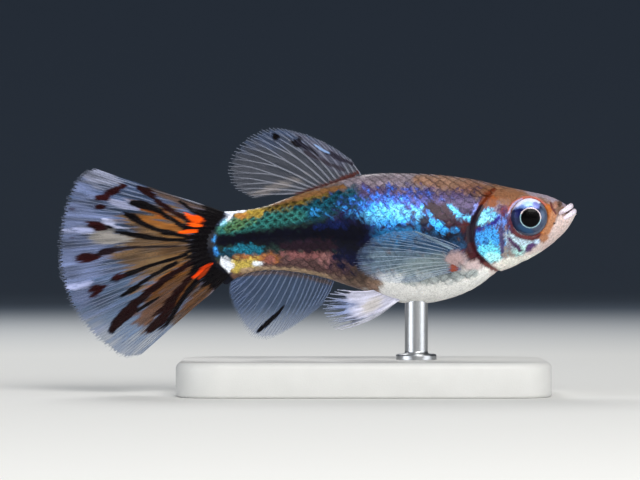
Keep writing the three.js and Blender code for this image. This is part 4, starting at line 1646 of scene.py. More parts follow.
@dataclass
class Skin:
    """The whole body's skin, from the mouth to the tail's root, as one closed surface.

    Attributes:
        spans: Runs of rings: where each starts and ends, and its step.
        cover_rise: How far the gill cover stands out at its free edge.
        cover_reach: Distances past that edge between which it rises.
        cover_edge: Distances past that edge over which it drops into the gap.
        gap_reach: Distances past the edge over which the gap closes.
        gap_top: Heights over which cover and gap die away upwards.
        socket_edge: Distances past the rim over which the socket drops.
        grit: Heights and sizes of the fine unevenness.
        map_edge: First and last place on the bake's map.
    """

    painter: Painter
    columns: int = 180
    spans: tuple[tuple[float, float, float], ...] = (
        (0.13, 3.0, 0.05), (3.0, 9.6, 0.075), (9.6, 30.0, 0.13), (30.0, 32.8, 0.08),
    )
    nose_steps: int = 8
    slit_steps: int = 48
    cover_rise: float = 0.12
    cover_reach: Place = (-2.2, -0.3)
    cover_edge: Place = (-0.12, 0.02)
    gap_depth: float = 0.15
    gap_reach: Place = (0.55, 0.08)
    gap_top: Place = (4.5, 3.3)
    gap_foot: Place = (-3.6, -2.4)
    rim_radius: float = 1.81
    rim_width: float = 0.13
    rim_rise: float = 0.1
    socket_depth: float = 0.5
    socket_edge: Place = (-0.08, -0.35)
    grit: tuple[Place, ...] = ((0.012, 0.5), (0.006, 0.2))
    map_edge: Place = (0.01, 0.99)

    def __post_init__(self) -> None:
        """Draws the line of the gill opening and readies the noise."""
        self.slit = Curve(GILL_SLIT).at(np.linspace(0, 1, self.slit_steps + 1))
        self.grain = Grain(seed=3)

    def relief(self, behind: Array, up: Array) -> Array:
        """Works out how far the skin stands off the smooth form along its normal."""
        folds = sum(fold.relief(behind, up) for fold in FOLDS)
        return folds + self._gill(behind, up) + self._orbit(behind, up)

    def _gill(self, behind: Array, up: Array) -> Array:
        """Shapes the gill cover's plate and the gap behind its free edge.

        Args:
            behind: Distances behind the lip.
            up: Heights above the axis.

        Returns:
            The rise at each place.
        """
        distance, _, side = line_reach(behind, up, self.slit)
        past = distance * side
        plate = self.cover_rise * smoothstep(*self.cover_reach, past)
        fall = smoothstep(*self.cover_edge, past)
        gap = -self.gap_depth * smoothstep(*self.gap_reach, past)
        within = smoothstep(*self.gap_top, up) * smoothstep(*self.gap_foot, up)
        return (plate * (1 - fall) + gap * fall) * within

    def _orbit(self, behind: Array, up: Array) -> Array:
        """Shapes the rim round an eye and the socket inside it.

        Args:
            behind: Distances behind the lip.
            up: Heights above the axis.

        Returns:
            The rise at each place.
        """
        past = np.hypot(behind - EYE.behind, up - EYE.up) - self.rim_radius
        rim = self.rim_rise * np.exp(-((past / self.rim_width) ** 2))
        return rim - self.socket_depth * smoothstep(*self.socket_edge, past)

    def _rings(self) -> Array:
        """Lists how far behind the lip the rings lie."""
        runs = [np.arange(start, end - step / 2, step) for start, end, step in self.spans]
        return np.concatenate([*runs, [self.spans[-1][1]]])

    def build(self) -> Object:
        """Builds the skin with its markings and its map for the bake.

        Returns:
            The skin.
        """
        turns = np.linspace(0, TURN, self.columns, endpoint=False)
        along, turn = np.meshgrid(self._rings(), turns, indexing="ij")
        smooth = FORM.place(along, turn)
        uneven = sum(height * self.grain.at(smooth, size) for height, size in self.grit)
        rise = self.relief(smooth[..., 0], smooth[..., 2]) + uneven
        rings = smooth + FORM.normal(along, turn) * rise[..., None]
        rings = np.concatenate([self._nose(rings[0]), rings])
        flat = with_ends(rings)
        faces, uv = self._faces(len(rings))
        finish = SkinFinish("guppy skin", roughness=0.45, slime=0.12, speckle=0.11, relief=0.02)
        skin = new_piece("skin", to_row(*flat.T), faces, finish.material())
        write_coat(skin.data, self.painter.paint(flat[:, 0], flat[:, 2], flat))
        write_bake_map(skin.data, uv)
        return skin

    def _nose(self, first: Array) -> Array:
        """Rounds the snout off ahead of the first ring.

        Args:
            first: The corners of that ring.

        Returns:
            The rings ahead of it, the foremost first.
        """
        centre = first.mean(0)
        shares = (np.arange(1, self.nose_steps) / self.nose_steps)[:, None, None]
        shrunk = centre + (first - centre) * np.sin(shares * math.pi / 2)
        return shrunk - self.spans[0][0] * (1 - shares) ** 2 * (1, 0, 0)

    def _faces(self, rings: int) -> tuple[list[Face], Array]:
        """Lists the faces of the closed tube.

        Args:
            rings: Number of rings. The two end corners follow them.

        Returns:
            Corner numbers of the faces, and a place on the bake's map for each corner.
        """
        n = self.columns
        faces = []
        uv = []
        across = np.linspace(*self.map_edge, n + 1)
        along = np.linspace(*self.map_edge, rings + 2)
        for r in range(rings - 1):
            for c in range(n):
                d = (c + 1) % n
                faces.append((r * n + c, r * n + d, (r + 1) * n + d, (r + 1) * n + c))
                uv += [
                    (along[r + 1], across[c]), (along[r + 1], across[c + 1]),
                    (along[r + 2], across[c + 1]), (along[r + 2], across[c]),
                ]
        nose, last = rings * n, (rings - 1) * n
        for c in range(n):
            d = (c + 1) % n
            middle = (across[c] + across[c + 1]) / 2
            faces += [(nose, d, c), (nose + 1, last + c, last + d)]
            uv += [(along[0], middle), (along[1], across[c + 1]), (along[1], across[c])]
            uv += [(along[-1], middle), (along[-2], across[c]), (along[-2], across[c + 1])]
        return faces, np.array(uv)


@dataclass
class Girth:
    """Finds the turn round the body that lies an arc's length from the middle of its side."""

    reach: Place = (3.0, 33.0)
    step: float = 0.25
    spill: float = 0.7
    samples: int = 321

    def __post_init__(self) -> None:
        """Measures the arcs at many sections."""
        self.along = np.arange(*self.reach, self.step)
        self.turns = np.linspace(-self.spill, math.pi + self.spill, self.samples)
        self.arcs = []
        for along in self.along:
            steps = np.linalg.norm(np.diff(FORM.place(along, self.turns), axis=0), axis=1)
            length = np.concatenate([[0], np.cumsum(steps)])
            self.arcs.append(length - np.interp(math.pi / 2, self.turns, length))

    def turn(self, along: Array, reach: Array) -> Array:
        """Finds turns round the body.

        Args:
            along: Distances behind the lip.
            reach: Arc lengths from the middle of the side, growing towards the back.

        Returns:
            The turns.
        """
        last = len(self.along) - 1
        place = np.clip((along - self.along[0]) / self.step, 0, last)
        row = np.minimum(place.astype(int), last - 1)
        low = np.zeros(along.shape)
        high = np.zeros(along.shape)
        for i in np.unique(row):
            at = row == i
            low[at] = np.interp(-reach[at], self.arcs[i], self.turns)
            high[at] = np.interp(-reach[at], self.arcs[i + 1], self.turns)
        return low + (place - row) * (high - low)

    def edge(self, along: Array, turn: float) -> Array:
        """Returns how far from the side's middle a turn lies, such as 0 for the back."""
        edges = [-np.interp(turn, self.turns, arcs) for arcs in self.arcs]
        return np.interp(along, self.along, edges)


@dataclass
class ScaleCoat:
    """Overlapping scales, laid out flat by Geometry Nodes and then wrapped round the body.

    The flat layout runs along X with the distance behind the lip, along Y with the distance
    from the middle of the side, and along Z with the height over the skin.

    Attributes:
        pitch: Distance from one scale of a row to the next.
        shrink: How much of the body's narrowing the rows follow, from 0 to 1.
        spill: Share of a row by which roots may lie past the back and the belly.
        slit_gap: How far behind the gill opening the first roots lie.
        nape: Distance and height past which the nape has scales ahead of the opening.
        shoulder: Share of its length that its sides have.
        waist: Share of its width that its root has.
        lift_power: How evenly it rises from one to the other.
        bare: Share of its length from which it's bare, and the middle of the bare part.
        narrow: Share of its width that the painted middle keeps.
        flat_belly: Share of their height that scales keep under the belly.
        flat_stem: Share of their height that scales would keep on a stem of no girth.
        belly_reach: Heights over which they rise from the belly's share to the whole.
        even: How far a scale takes its colours from its own middle.
        shades: How much scales differ in shade.
        lay_seed: Seed of the sizes and turns, between the right side's and the left side's.
        calm: Share of the shades that's left under the belly.
        calm_reach: Heights over which the shades grow to the whole.
        rim_reach: Where a dark rim starts and is full, from the middle to the free edge.
        heart_reach: Where a dark middle ends and is full.
        cell: First and last place in a scale's cell of the bake's map.
    """

    painter: Painter
    slit: Array
    deepest: float = 15.0
    pitch: float = 0.86
    row: float = 0.52
    rows: range = range(-24, 25)
    columns: int = 40
    start: float = 4.6
    end: float = 31.3
    shrink: float = 0.5
    spill: float = 0.3
    slit_gap: float = 0.12
    nape: Place = (5.2, 3.9)
    length: float = 1.35
    half: float = 0.56
    long_steps: int = 7
    wide_steps: int = 6
    shoulder: float = 0.45
    waist: float = 0.82
    lift: float = 0.055
    sunk: float = -0.06
    lift_power: float = 0.8
    dome: float = 0.022
    hem: float = 0.03
    bare: Place = (0.4, 0.62)
    narrow: float = 0.9
    sizes: Place = (0.93, 1.07)
    swing: float = 0.09
    flat_belly: float = 0.45
    flat_stem: float = 0.4
    belly_reach: Place = (-5.0, -3.0)
    even: float = 0.25
    shades: float = 0.22
    shade_seed: int = 11
    lay_seed: int = 5
    calm: float = 0.2
    calm_reach: Place = (-4.2, -1.8)
    rim_reach: Place = (0.55, 1.0)
    heart_reach: Place = (0.75, 0.25)
    cell: Place = (0.1, 0.9)

    def __post_init__(self) -> None:
        """Measures the body that the scales go round."""
        self.girth = Girth()
        self.widest_back = self.girth.edge(self.deepest, 0.0)

    def squeeze(self, along: Array) -> Array:
        """Returns the width of the rows as a share of that at the deepest place."""
        return (self.girth.edge(along, 0.0) / self.widest_back) ** self.shrink

    def _template(self) -> Object:
        """Makes one scale, with its root at the origin and its free edge along +X.

        Returns:
            The scale, with its edge and patch attributes.
        """
        lengthwise = np.linspace(0, 1, self.long_steps + 1)
        crosswise = np.sin(np.linspace(-1, 1, self.wide_steps + 1) * math.pi / 2)
        u, v = np.meshgrid(lengthwise, crosswise, indexing="ij")
        x = u * between((self.shoulder, 1), np.sqrt(1 - v**2)) * self.length
        y = v * self.half * between((self.waist, 1), np.sin(u * math.pi / 2))
        lift = between((self.sunk, self.lift), u**self.lift_power)
        top = lift + self.dome * (1 - v**2) - self.hem * np.abs(v) ** 3
        wide = self.wide_steps + 1
        roots = [i * wide + j for i in range(self.long_steps) for j in range(self.wide_steps)]
        faces = [(a, a + wide, a + wide + 1, a + 1) for a in roots]
        scale = new_piece("scale", np.stack([x, y, top], -1), faces)
        write_values(scale.data, "edge", self._edge(u, v))
        write_values(scale.data, "patch", np.stack([u, (v + 1) / 2, u * 0], -1))
        return scale

    def _edge(self, u: Array, v: Array) -> Array:
        """Runs from 0 in the middle of a scale's bare part to 1 along its free edge."""
        start, middle = self.bare
        return np.clip(np.hypot((u - middle) / (1 - middle), v * self.narrow), 0, 1) * (u > start)

    def _layout(self, side: Side) -> tuple[Array, Array]:
        """Places the roots of one side's scales.

        Args:
            side: The side of the fish.

        Returns:
            The flat places of the roots, and the column and row of each.
        """
        spots = []
        cells = []
        for number, row in enumerate(self.rows):
            for column in range(self.columns):
                along = self.start + self.pitch * (row % 2) / 2 + column * self.pitch
                if not self._is_bare(along, row * self.row, side):
                    spots.append((along, row * self.row, 0.0))
                    cells.append((column, number))
        return np.array(spots), np.array(cells)

    def _is_bare(self, along: float, middle: float, side: Side) -> bool:
        """Tells whether a place has no scale.

        Args:
            along: Distance behind the lip.
            middle: Flat distance from the middle of the side.
            side: The side of the fish.

        Returns:
            Whether no scale has its root there.
        """
        at = np.array([along])
        squeeze = self.squeeze(at)
        reach = middle * squeeze
        spare = self.spill * self.row * squeeze
        belly, back = self.girth.edge(at, math.pi) - spare, self.girth.edge(at, 0.0) + spare * side.value
        if not belly[0] < reach[0] < back[0]:
            return True
        place = FORM.place(at, self.girth.turn(at, reach))[0]
        distance, _, past = line_reach(place[:1], place[2:], self.slit)
        ahead = distance[0] * past[0] < self.slit_gap
        on_nape = along > self.nape[0] and place[2] > self.nape[1]
        return along + self.length > self.end or (ahead and not on_nape)

    def _rule(self) -> Rule:
        """Makes the rule that lays a scale at every root.

        Returns:
            The rule.
        """
        rule = Rule("lay scales")
        scale = rule.input("Scale", "Object")
        material = rule.input("Material", "Material")
        swing = rule.input("Swing", "Float")
        seed = rule.input("Seed", "Int")
        info = rule.node("GeometryNodeObjectInfo", {"Object": scale})
        away = rule.node("ShaderNodeMath", {0: swing, 1: -1.0}, operation="MULTIPLY").outputs[0]
        turn, size = (
            rule.node("FunctionNodeRandomValue", {"Min": low, "Max": high, "Seed": seed}).outputs["Value"]
            for low, high in ((away, swing), self.sizes)
        )
        axis = rule.node("ShaderNodeCombineXYZ", {"Z": turn}).outputs[0]
        inputs = {
            "Points": rule.start.outputs[0],
            "Instance": info.outputs["Geometry"],
            "Rotation": rule.node("FunctionNodeEulerToRotation", {0: axis}).outputs[0],
            "Scale": rule.node("ShaderNodeCombineXYZ", {"X": size, "Y": size, "Z": 1.0}).outputs[0],
        }
        rule.finish(rule.node("GeometryNodeInstanceOnPoints", inputs).outputs[0], material)
        return rule

    def build(self) -> list[Object]:
        """Builds the scales of both sides.

        Returns:
            The right side's coat and the left side's.
        """
        rule = self._rule()
        template = self._template()
        finish = SkinFinish("guppy scales", roughness=0.38, slime=0.1, speckle=0.09, relief=0.012)
        values = {"Scale": template, "Material": finish.material(), "Swing": self.swing}
        coats = []
        for side in Side:
            roots, cells = self._layout(side)
            coat = new_piece(f"scales_{side.name.lower()}", roots)
            rule.apply(coat, {**values, "Seed": self.lay_seed + side.value})
            owner = np.repeat(np.arange(len(roots)), len(coat.data.vertices) // len(roots))
            places = self._wrap(coat.data, side)
            self._dress(coat.data, side, places, owner)
            self._map(coat.data, cells, owner)
            if side is Side.LEFT:
                coat.data.flip_normals()
            coat.data.update()
            coats.append(coat)
        bpy.data.objects.remove(template)
        return coats

    def _wrap(self, mesh: Mesh, side: Side) -> Array:
        """Wraps a flat coat round the body.

        Args:
            mesh: The flat coat, whose corners are moved.
            side: The side of the fish.

        Returns:
            The new places of its corners, in the fish's own terms.
        """
        along, reach, height = read_values(mesh, "position", 3).T
        squeeze = self.squeeze(along)
        turn = self.girth.turn(along, reach * squeeze) * side.value
        places = FORM.place(along, turn)
        calm = between((self.flat_belly, 1), smoothstep(*self.belly_reach, places[:, 2]))
        lift = height * between((self.flat_stem, 1), squeeze) * calm
        places += FORM.normal(along, turn) * lift[:, None]
        mesh.vertices.foreach_set("co", to_row(*places.T).astype(np.float32).ravel())
        return places

    def _dress(self, mesh: Mesh, side: Side, places: Array, owner: Array) -> None:
        """Paints a coat, each scale in its own shade and with its rim or its middle darker.

        Args:
            mesh: The coat.
            side: The side of the fish.
            places: The places of its corners, in the fish's own terms.
            owner: The number of each corner's scale.
        """
        scales = owner[-1] + 1
        edge = read_values(mesh, "edge")
        middles = places.reshape(scales, -1, 3).mean(1)[owner]
        read_at = places + self.even * (middles - places)
        painted = self.painter.paint(read_at[:, 0], read_at[:, 2], places * (1, side.value, 1))
        lively = between((self.calm, 1), smoothstep(*self.calm_reach, places[:, 2]))
        shades = np.random.default_rng(self.shade_seed).uniform(-self.shades, self.shades, scales)
        rim = np.clip(painted.rim, 0, 1) * smoothstep(*self.rim_reach, edge)
        heart = np.clip(-painted.rim, 0, 1) * smoothstep(*self.heart_reach, edge) * (edge > 0)
        painted.tint *= ((1 + shades[owner] * lively) * (1 - rim) * (1 - heart))[:, None]
        write_coat(mesh, painted)

    def _map(self, mesh: Mesh, cells: Array, owner: Array) -> None:
        """Gives each scale its own cell of the bake's map.

        Args:
            mesh: The coat, which then loses the attributes of the template.
            cells: The column and row of each scale.
            owner: The number of each corner's scale.
        """
        patch = read_values(mesh, "patch", 3)[:, :2]
        shifted = cells + (cells[:, 1:] % 2) / 2 * (1, 0)
        uv = (shifted[owner] + between(self.cell, patch)) / (self.columns + 1, len(self.rows))
        corners = np.empty(len(mesh.loops), np.int32)
        mesh.loops.foreach_get("vertex_index", corners)
        write_bake_map(mesh, uv[corners])
        for name in ("edge", "patch"):
            mesh.attributes.remove(mesh.attributes[name])


@dataclass(frozen=True)
class Lip:
    """A lip that runs from one corner of the mouth round the front to the other.

    Attributes:
        front: Its middle, behind and up.
        corner: Its ends, behind and up.
        half: Half the width of the mouth.
        thick: Its radius at the front.
        thin: Share of that radius that it has at its ends.
    """

    name: str
    front: Place
    corner: Place
    half: float
    thick: float
    thin: float = 0.55
    tall: float = 1.15
    steps: int = 72
    sides: int = 20

    def build(self, painter: Painter) -> Object:
        """Builds the lip as a closed band, thinner towards the corners.

        Args:
            painter: Paints it.

        Returns:
            The lip.
        """
        turn = np.linspace(0, math.pi, self.steps + 1)
        share = np.sin(turn)
        behind, up = (between(ends, share) for ends in zip(self.corner, self.front))
        middle = np.stack([behind, self.half * np.cos(turn), up], -1)
        run = unit(np.gradient(middle, axis=0))
        outward = unit(np.cross(run, (0.0, 0.0, 1.0)))
        upward = np.cross(outward, run)
        radius = self.thick * between((self.thin, 1), share**0.5)
        around = np.linspace(0, TURN, self.sides, endpoint=False)[None, :, None]
        ring = np.cos(around) * outward[:, None] + self.tall * np.sin(around) * upward[:, None]
        places = middle[:, None] + radius[:, None, None] * ring
        flat = np.concatenate([places.reshape(-1, 3), middle[[0, -1]]])
        finish = SkinFinish(self.name, roughness=0.3, slime=0.8, speckle=0.07, relief=0.01)
        faces = tube_faces(self.steps + 1, self.sides)
        piece = new_piece(self.name, to_row(*flat.T), faces, finish.material())
        write_coat(piece.data, painter.paint(flat[:, 0], flat[:, 2], flat))
        return piece


@dataclass(frozen=True)
class Eye:
    """A wet eyeball with a painted iris and pupil, and a painted highlight across the top of the iris.

    Attributes:
        painter: Paints the iris and its painted highlight, whose marks are drawn at one place and size.
        drawn_at: That place, behind and up.
        drawn_radius: The eye's radius at that size.
    """

    painter: Painter
    drawn_at: Place = (4.15, 1.69)
    drawn_radius: float = 1.6
    rings: int = 112
    sides: int = 168

    def build(self, side: Side) -> Object:
        """Builds one side's eye as a flattened ball whose pole looks outwards.

        Args:
            side: The side of the fish.

        Returns:
            The eye.
        """
        out = FORM.half_width(EYE.behind, EYE.up) + EYE.bulge - EYE.depth
        tilts = np.linspace(0, math.pi, self.rings + 1)[1:-1]
        turns = np.linspace(0, TURN, self.sides, endpoint=False) * -side.value
        tilt, turn = np.meshgrid(tilts, turns, indexing="ij")
        reach = EYE.radius * np.sin(tilt)
        ball = np.stack([reach * np.cos(turn), EYE.depth * np.cos(tilt), reach * np.sin(turn)], -1)
        poles = [(0, EYE.depth, 0), (0, -EYE.depth, 0)]
        flat = np.concatenate([ball.reshape(-1, 3), poles]) + (EYE.behind, out, EYE.up)
        name = f"eyeball_{side.name.lower()}"
        places = to_row(flat[:, 0], flat[:, 1] * side.value, flat[:, 2])
        faces = tube_faces(self.rings - 1, self.sides)
        eye = new_piece(name, places, faces, EyeFinish(name).material())
        ratio = self.drawn_radius / EYE.radius
        behind = self.drawn_at[0] + (flat[:, 0] - EYE.behind) * ratio
        up = self.drawn_at[1] + (flat[:, 2] - EYE.up) * ratio
        write_coat(eye.data, self.painter.paint(behind, up, flat))
        return eye


@dataclass(frozen=True)
class FinForm:
    """A fin's outline and build.

    Attributes:
        name: The start of its pieces' names.
        slot: The name of a material slot; not used.
        node: The node that it replaces.
        root: Where its rays leave the body, behind and up.
        tips: Where its rays end.
        rays: Number of rays.
        marks: Its markings.
        bow: How far a ray's middle stands off its chord, as a share of the chord.
        out: How far out its root and its tips stand.
        common: Whether all its rays enter the body in one direction.
        wave: How far its tips sway out of its plane.
        web: Half the web's thickness at the root and at the margin.
        ray: Radius of the rays at the root.
        swell: How much thicker the root is.
        forks: Where along a ray its branches fork.
        fringe: How far the web falls short between branches, as a share of a ray.
        lag: Above 1, the rays crowd towards the front of the root.
        pale: How much lighter than the clear web its rays are.
        bony: How much more opaque than the web its rays are.
        cloud: How cloudy its web is.
        notches: Number of notches in its margin from one ray to the next.
    """

    name: str
    slot: str
    node: str
    root: tuple[Place, ...]
    tips: tuple[Place, ...]
    rays: int
    marks: tuple[Mark, ...]
    bow: float = 0.0
    out: Place = (0.0, 0.0)
    common: bool = False
    wave: float = 0.0
    web: Place = (0.11, 0.035)
    ray: float = 0.11
    swell: float = 0.0
    forks: tuple[float, ...] = (0.3, 0.55, 0.8)
    fringe: float = 0.014
    lag: float = 1.0
    pale: float = 0.6
    bony: float = 0.3
    cloud: float = 0.9
    notches: int = 4


class FinKind(Enum):
    """The fins of the middle plane and of the right side, as their forms."""

    TAIL = FinForm(
        "tail_fin", "tail_fin", "caudal_fin",
        root=((30.8, 2.2), (31.9, 0.9), (31.95, -1.5), (30.1, -3.4)),
        tips=(
            (41.9, 6.0), (43.1, 5.4), (44.1, 3.8), (44.7, 1.8), (44.98, -0.4), (44.9, -2.6),
            (44.3, -4.9), (43.1, -7.2), (41.2, -9.3), (39.3, -10.5), (37.9, -10.35),
        ),
        rays=19, marks=TAIL_MARKS, wave=0.45, web=(0.14, 0.04), swell=0.36, fringe=0.02, pale=0.5,
    )
    DORSAL = FinForm(
        "dorsal_fin", "clear_fin", "dorsal_fin",
        root=((18.75, 5.2), (21.2, 4.55), (24.0, 3.65)),
        tips=(
            (19.5, 6.7), (21.6, 8.1), (24.2, 9.15), (26.7, 9.45), (28.7, 8.5), (29.9, 7.2),
            (30.25, 5.8), (29.7, 4.3), (28.0, 3.3),
        ),
        rays=14, marks=DORSAL_MARKS, bow=0.05, ray=0.12, forks=(0.5, 0.76), fringe=0.035,
        pale=0.5, cloud=0.25, notches=2,
    )
    ANAL = FinForm(
        "anal_fin", "clear_fin", "anal_fin",
        root=((21.1, -3.75), (24.6, -2.95), (29.2, -3.15)),
        tips=(
            (22.1, -5.95), (23.7, -7.2), (25.3, -8.25), (26.6, -8.85), (27.9, -8.8), (28.9, -7.8),
            (29.7, -6.25), (30.15, -4.75), (29.95, -3.7),
        ),
        rays=20, marks=ANAL_MARKS, bow=-0.05, lag=1.3, ray=0.085, forks=(0.55, 0.8), fringe=0.035,
        pale=0.26, cloud=0.2, notches=2,
    )
    PECTORAL_RIGHT = FinForm(
        "pectoral_fin_right", "clear_fin", "pectoral_fin_right",
        root=((10.15, -1.35), (10.45, -2.0), (10.75, -2.75)),
        tips=(
            (14.3, 0.55), (16.6, 0.35), (18.4, -0.45), (19.35, -1.6), (19.2, -2.7), (17.9, -3.6),
            (16.0, -3.95), (14.0, -3.85),
        ),
        rays=13, marks=PECTORAL_MARKS, bow=0.03, out=(2.45, 5.6), common=True, web=(0.08, 0.025),
        ray=0.06, forks=(0.35, 0.7), fringe=0.03, pale=0.5, bony=0.28, cloud=0.4,
    )
    PELVIC_RIGHT = FinForm(
        "pelvic_fin_right", "pale_fin", "pelvic_fin_right",
        root=((17.6, -4.45), (16.6, -4.95), (15.7, -5.35)),
        tips=((20.6, -4.45), (21.5, -4.95), (22.0, -5.75), (21.9, -6.5), (21.4, -7.1), (20.7, -7.35)),
        rays=7, marks=PELVIC_MARKS, bow=-0.09, out=(0.75, 2.1), forks=(0.6,), fringe=0.17,
        cloud=0.4, notches=1,
    )


def ray_rule() -> Rule:
    """Makes the rule that turns a net of edges into tubes as thick as its thick attribute says.

    Returns:
        The rule.
    """
    rule = Rule("grow rays")
    radius = rule.input("Radius", "Float")
    sides = rule.input("Sides", "Int")
    material = rule.input("Material", "Material")
    lines = rule.node("GeometryNodeMeshToCurve", {"Mesh": rule.start.outputs[0]})
    ring = rule.node("GeometryNodeCurvePrimitiveCircle", {"Resolution": sides, "Radius": radius})
    thick = rule.node("GeometryNodeInputNamedAttribute", {"Name": "thick"}, data_type="FLOAT")
    inputs = {
        "Curve": lines.outputs[0],
        "Profile Curve": ring.outputs[0],
        "Scale": thick.outputs[0],
        "Fill Caps": True,
    }
    rule.finish(rule.node("GeometryNodeCurveToMesh", inputs).outputs[0], material)
    return rule


@dataclass
class Fin:
    """A fin: a thin closed web with branching rays on it.

    Attributes:
        crowd: How the steps crowd: 1 is even, less crowds them towards the margin.
        ripple: Number of waves from the first ray to the last, and their phase.
        curl: How strongly and how often a ray curls to and fro.
        hold: How soon the rays between the first and the last may lean fully.
        ragged: How much the margin falls short everywhere, and at random.
        cords: How thick the web is between rays and at a ray.
        swell_reach: Share of a ray over which the root's swelling dies away.
        grain: Cells of noise from ray to ray and along a ray, and the level that is read.
        clouds: Shares and sizes of the cloudiness.
        cloud_shade: How much of the cloudiness shows as shade.
        spread: How far the first branches part, as a share of the gap between two rays.
        taper: Thickness of a ray at its root, what each fork takes off, and what its run takes off.
        trim: Share of a ray past which its tips are cut at random, and how far.
        faint_reach: Shares of a ray over which it gets clearer.
    """

    form: FinForm
    side: Side
    seed: int
    rows: int = 56
    crowd: float = 0.9
    per_ray: int = 24
    root_depth: float = 0.9
    ripple: Place = (1.2, 0.6)
    wiggle: float = 0.16
    curl: Place = (0.5, 4.0)
    hold: float = 8.0
    ragged: Place = (0.4, 0.8)
    cords: Place = (0.85, 1.15)
    swell_reach: float = 0.22
    swell_power: float = 1.5
    grain: tuple[float, float, float] = (1.1, 2.2, 3.0)
    torn: float = 1.7
    clouds: tuple[Place, ...] = ((1.0, 0.3), (0.7, 0.8))
    cloud_shade: float = 0.33
    steps: int = 8
    spread: float = 0.25
    taper: tuple[float, float, float] = (0.9, 0.2, 0.4)
    trim: Place = (0.9, 0.02)
    sides: int = 6
    pale: Rgb = (0.82, 0.85, 0.93)
    faint: float = 0.55
    faint_reach: Place = (0.7, 1.0)

    def __post_init__(self) -> None:
        """Draws the curves of its root and its tips, and how its rays lean."""
        self.gaps = self.form.rays - 1
        self.roots = Curve(self.form.root)
        self.tips = Curve(self.form.tips)
        self.painter = Painter(CLEAR, self.form.marks, self.seed, self.torn)
        self.random = np.random.default_rng(self.seed)
        self.leans, self.curls = self.random.uniform(-1, 1, (self.form.rays + 1, 3)).T[:2]

    def middle(self, t: Array, s: Array) -> Array:
        """Finds places on the fin's middle sheet.

        Args:
            t: Shares of the way from the first ray to the last.
            s: Shares of the way from root to tip.

        Returns:
            behind, out and up on the last axis.
        """
        form = self.form
        root, tip = self.roots.at(t**form.lag), self.tips.at(t)
        chord = tip - root
        heading = self.tips.at(0.5) - self.roots.at(0.5) if form.common else chord
        inward = -self.root_depth * unit(heading)
        across = np.stack([-chord[..., 1], chord[..., 0]], -1)
        place = root + inward * (1 - s)[..., None] + chord * s[..., None]
        place += across * (form.bow * np.sin(math.pi * s))[..., None]
        waves, phase = self.ripple
        out = between(form.out, s) - form.wave * s**2 * np.sin(waves * TURN * t + phase)
        return np.stack([place[..., 0], out * self.side.value, place[..., 1]], -1)

    def _bend(self, t: Array, s: Array) -> Array:
        """Lets neighbouring rays lean to and fro a little along the margin.

        Args:
            t: Shares of the way from the first ray to the last.
            s: Shares of the way from root to tip.

        Returns:
            The new shares t.
        """
        ray = t * self.gaps
        numbers = range(self.form.rays + 1)
        lean, curl = np.interp(ray, numbers, self.leans), np.interp(ray, numbers, self.curls)
        strong, often = self.curl
        turned = self.wiggle * (lean * s**2 + strong * curl * s * np.sin(often * s))
        return np.clip(t + turned * np.clip(self.hold * t * (1 - t), 0, 1) / self.gaps, 0, 1)

    def web(self) -> Object:
        """Builds the closed web with a ragged margin.

        Returns:
            The web.
        """
        form = self.form
        shares = np.linspace(0, 1, self.gaps * self.per_ray + 1)
        t, s = np.meshgrid(shares, np.linspace(0, 1, self.rows + 1) ** self.crowd, indexing="ij")
        branch = np.abs(np.sin(form.notches * math.pi * t * self.gaps))
        even, odd = self.ragged
        fringe = form.fringe * (even + branch + odd * self.random.uniform(0, 1, (len(t), 1)))
        reach = s * (1 - fringe * s**3)
        middle = self.middle(self._bend(t, reach), reach)
        normal = unit(np.cross(np.gradient(middle, axis=0), np.gradient(middle, axis=1)))
        normal *= np.sign(normal[..., 1:2].sum() or 1.0)
        half = between(form.web, reach) * between(self.cords, np.abs(np.cos(math.pi * t * self.gaps)))
        half += form.swell * np.clip(1 - reach / self.swell_reach, 0, 1) ** self.swell_power
        stand_off = normal * half[..., None]
        flat = np.concatenate([middle + stand_off, middle - stand_off]).reshape(-1, 3)
        name = form.name + "_web"
        piece = new_piece(name, to_row(*flat.T), self._web_faces(*t.shape), WebFinish(name).material())
        write_coat(orient(piece).data, self._painted(flat, np.tile(t.ravel(), 2), np.tile(s.ravel(), 2)))
        return piece

    def _web_faces(self, columns: int, rows: int) -> list[Face]:
        """Lists the faces of two sheets joined along their edges.

        Args:
            columns: Number of corners from the first ray to the last.
            rows: Number of corners from the root to the margin.

        Returns:
            Corner numbers of the faces.
        """
        back = columns * rows
        faces = []
        for c in range(columns - 1):
            for a in range(c * rows, (c + 1) * rows - 1):
                b = a + rows
                faces += [(a, b, b + 1, a + 1), (back + a, back + a + 1, back + b + 1, back + b)]
            low, high = c * rows, (c + 1) * rows - 1
            faces.append((low, back + low, back + low + rows, low + rows))
            faces.append((high, high + rows, back + high + rows, back + high))
        for r in range(rows - 1):
            end = (columns - 1) * rows + r
            faces += [(r, r + 1, back + r + 1, back + r), (end, back + end, back + end + 1, end + 1)]
        return faces

    def _painted(self, places: Array, t: Array, s: Array) -> Coat:
        """Paints some places of the fin, with edges and cloudiness that run along its rays.

        Args:
            places: The places, in the fish's own terms.
            t: Their shares of the way from the first ray to the last.
            s: Their shares of the way from root to tip.

        Returns:
            Their coat.
        """
        grain = np.stack([t * self.gaps, s, np.ones(t.shape)], -1) * self.grain
        coat = self.painter.paint(places[:, 0], places[:, 2], grain)
        cloud = sum(share * self.painter.grain.at(grain, size) for share, size in self.clouds)
        coat.veil *= 1 + self.form.cloud * cloud * (1 - coat.veil)
        coat.tint *= (1 + self.cloud_shade * self.form.cloud * cloud)[:, None]
        return coat

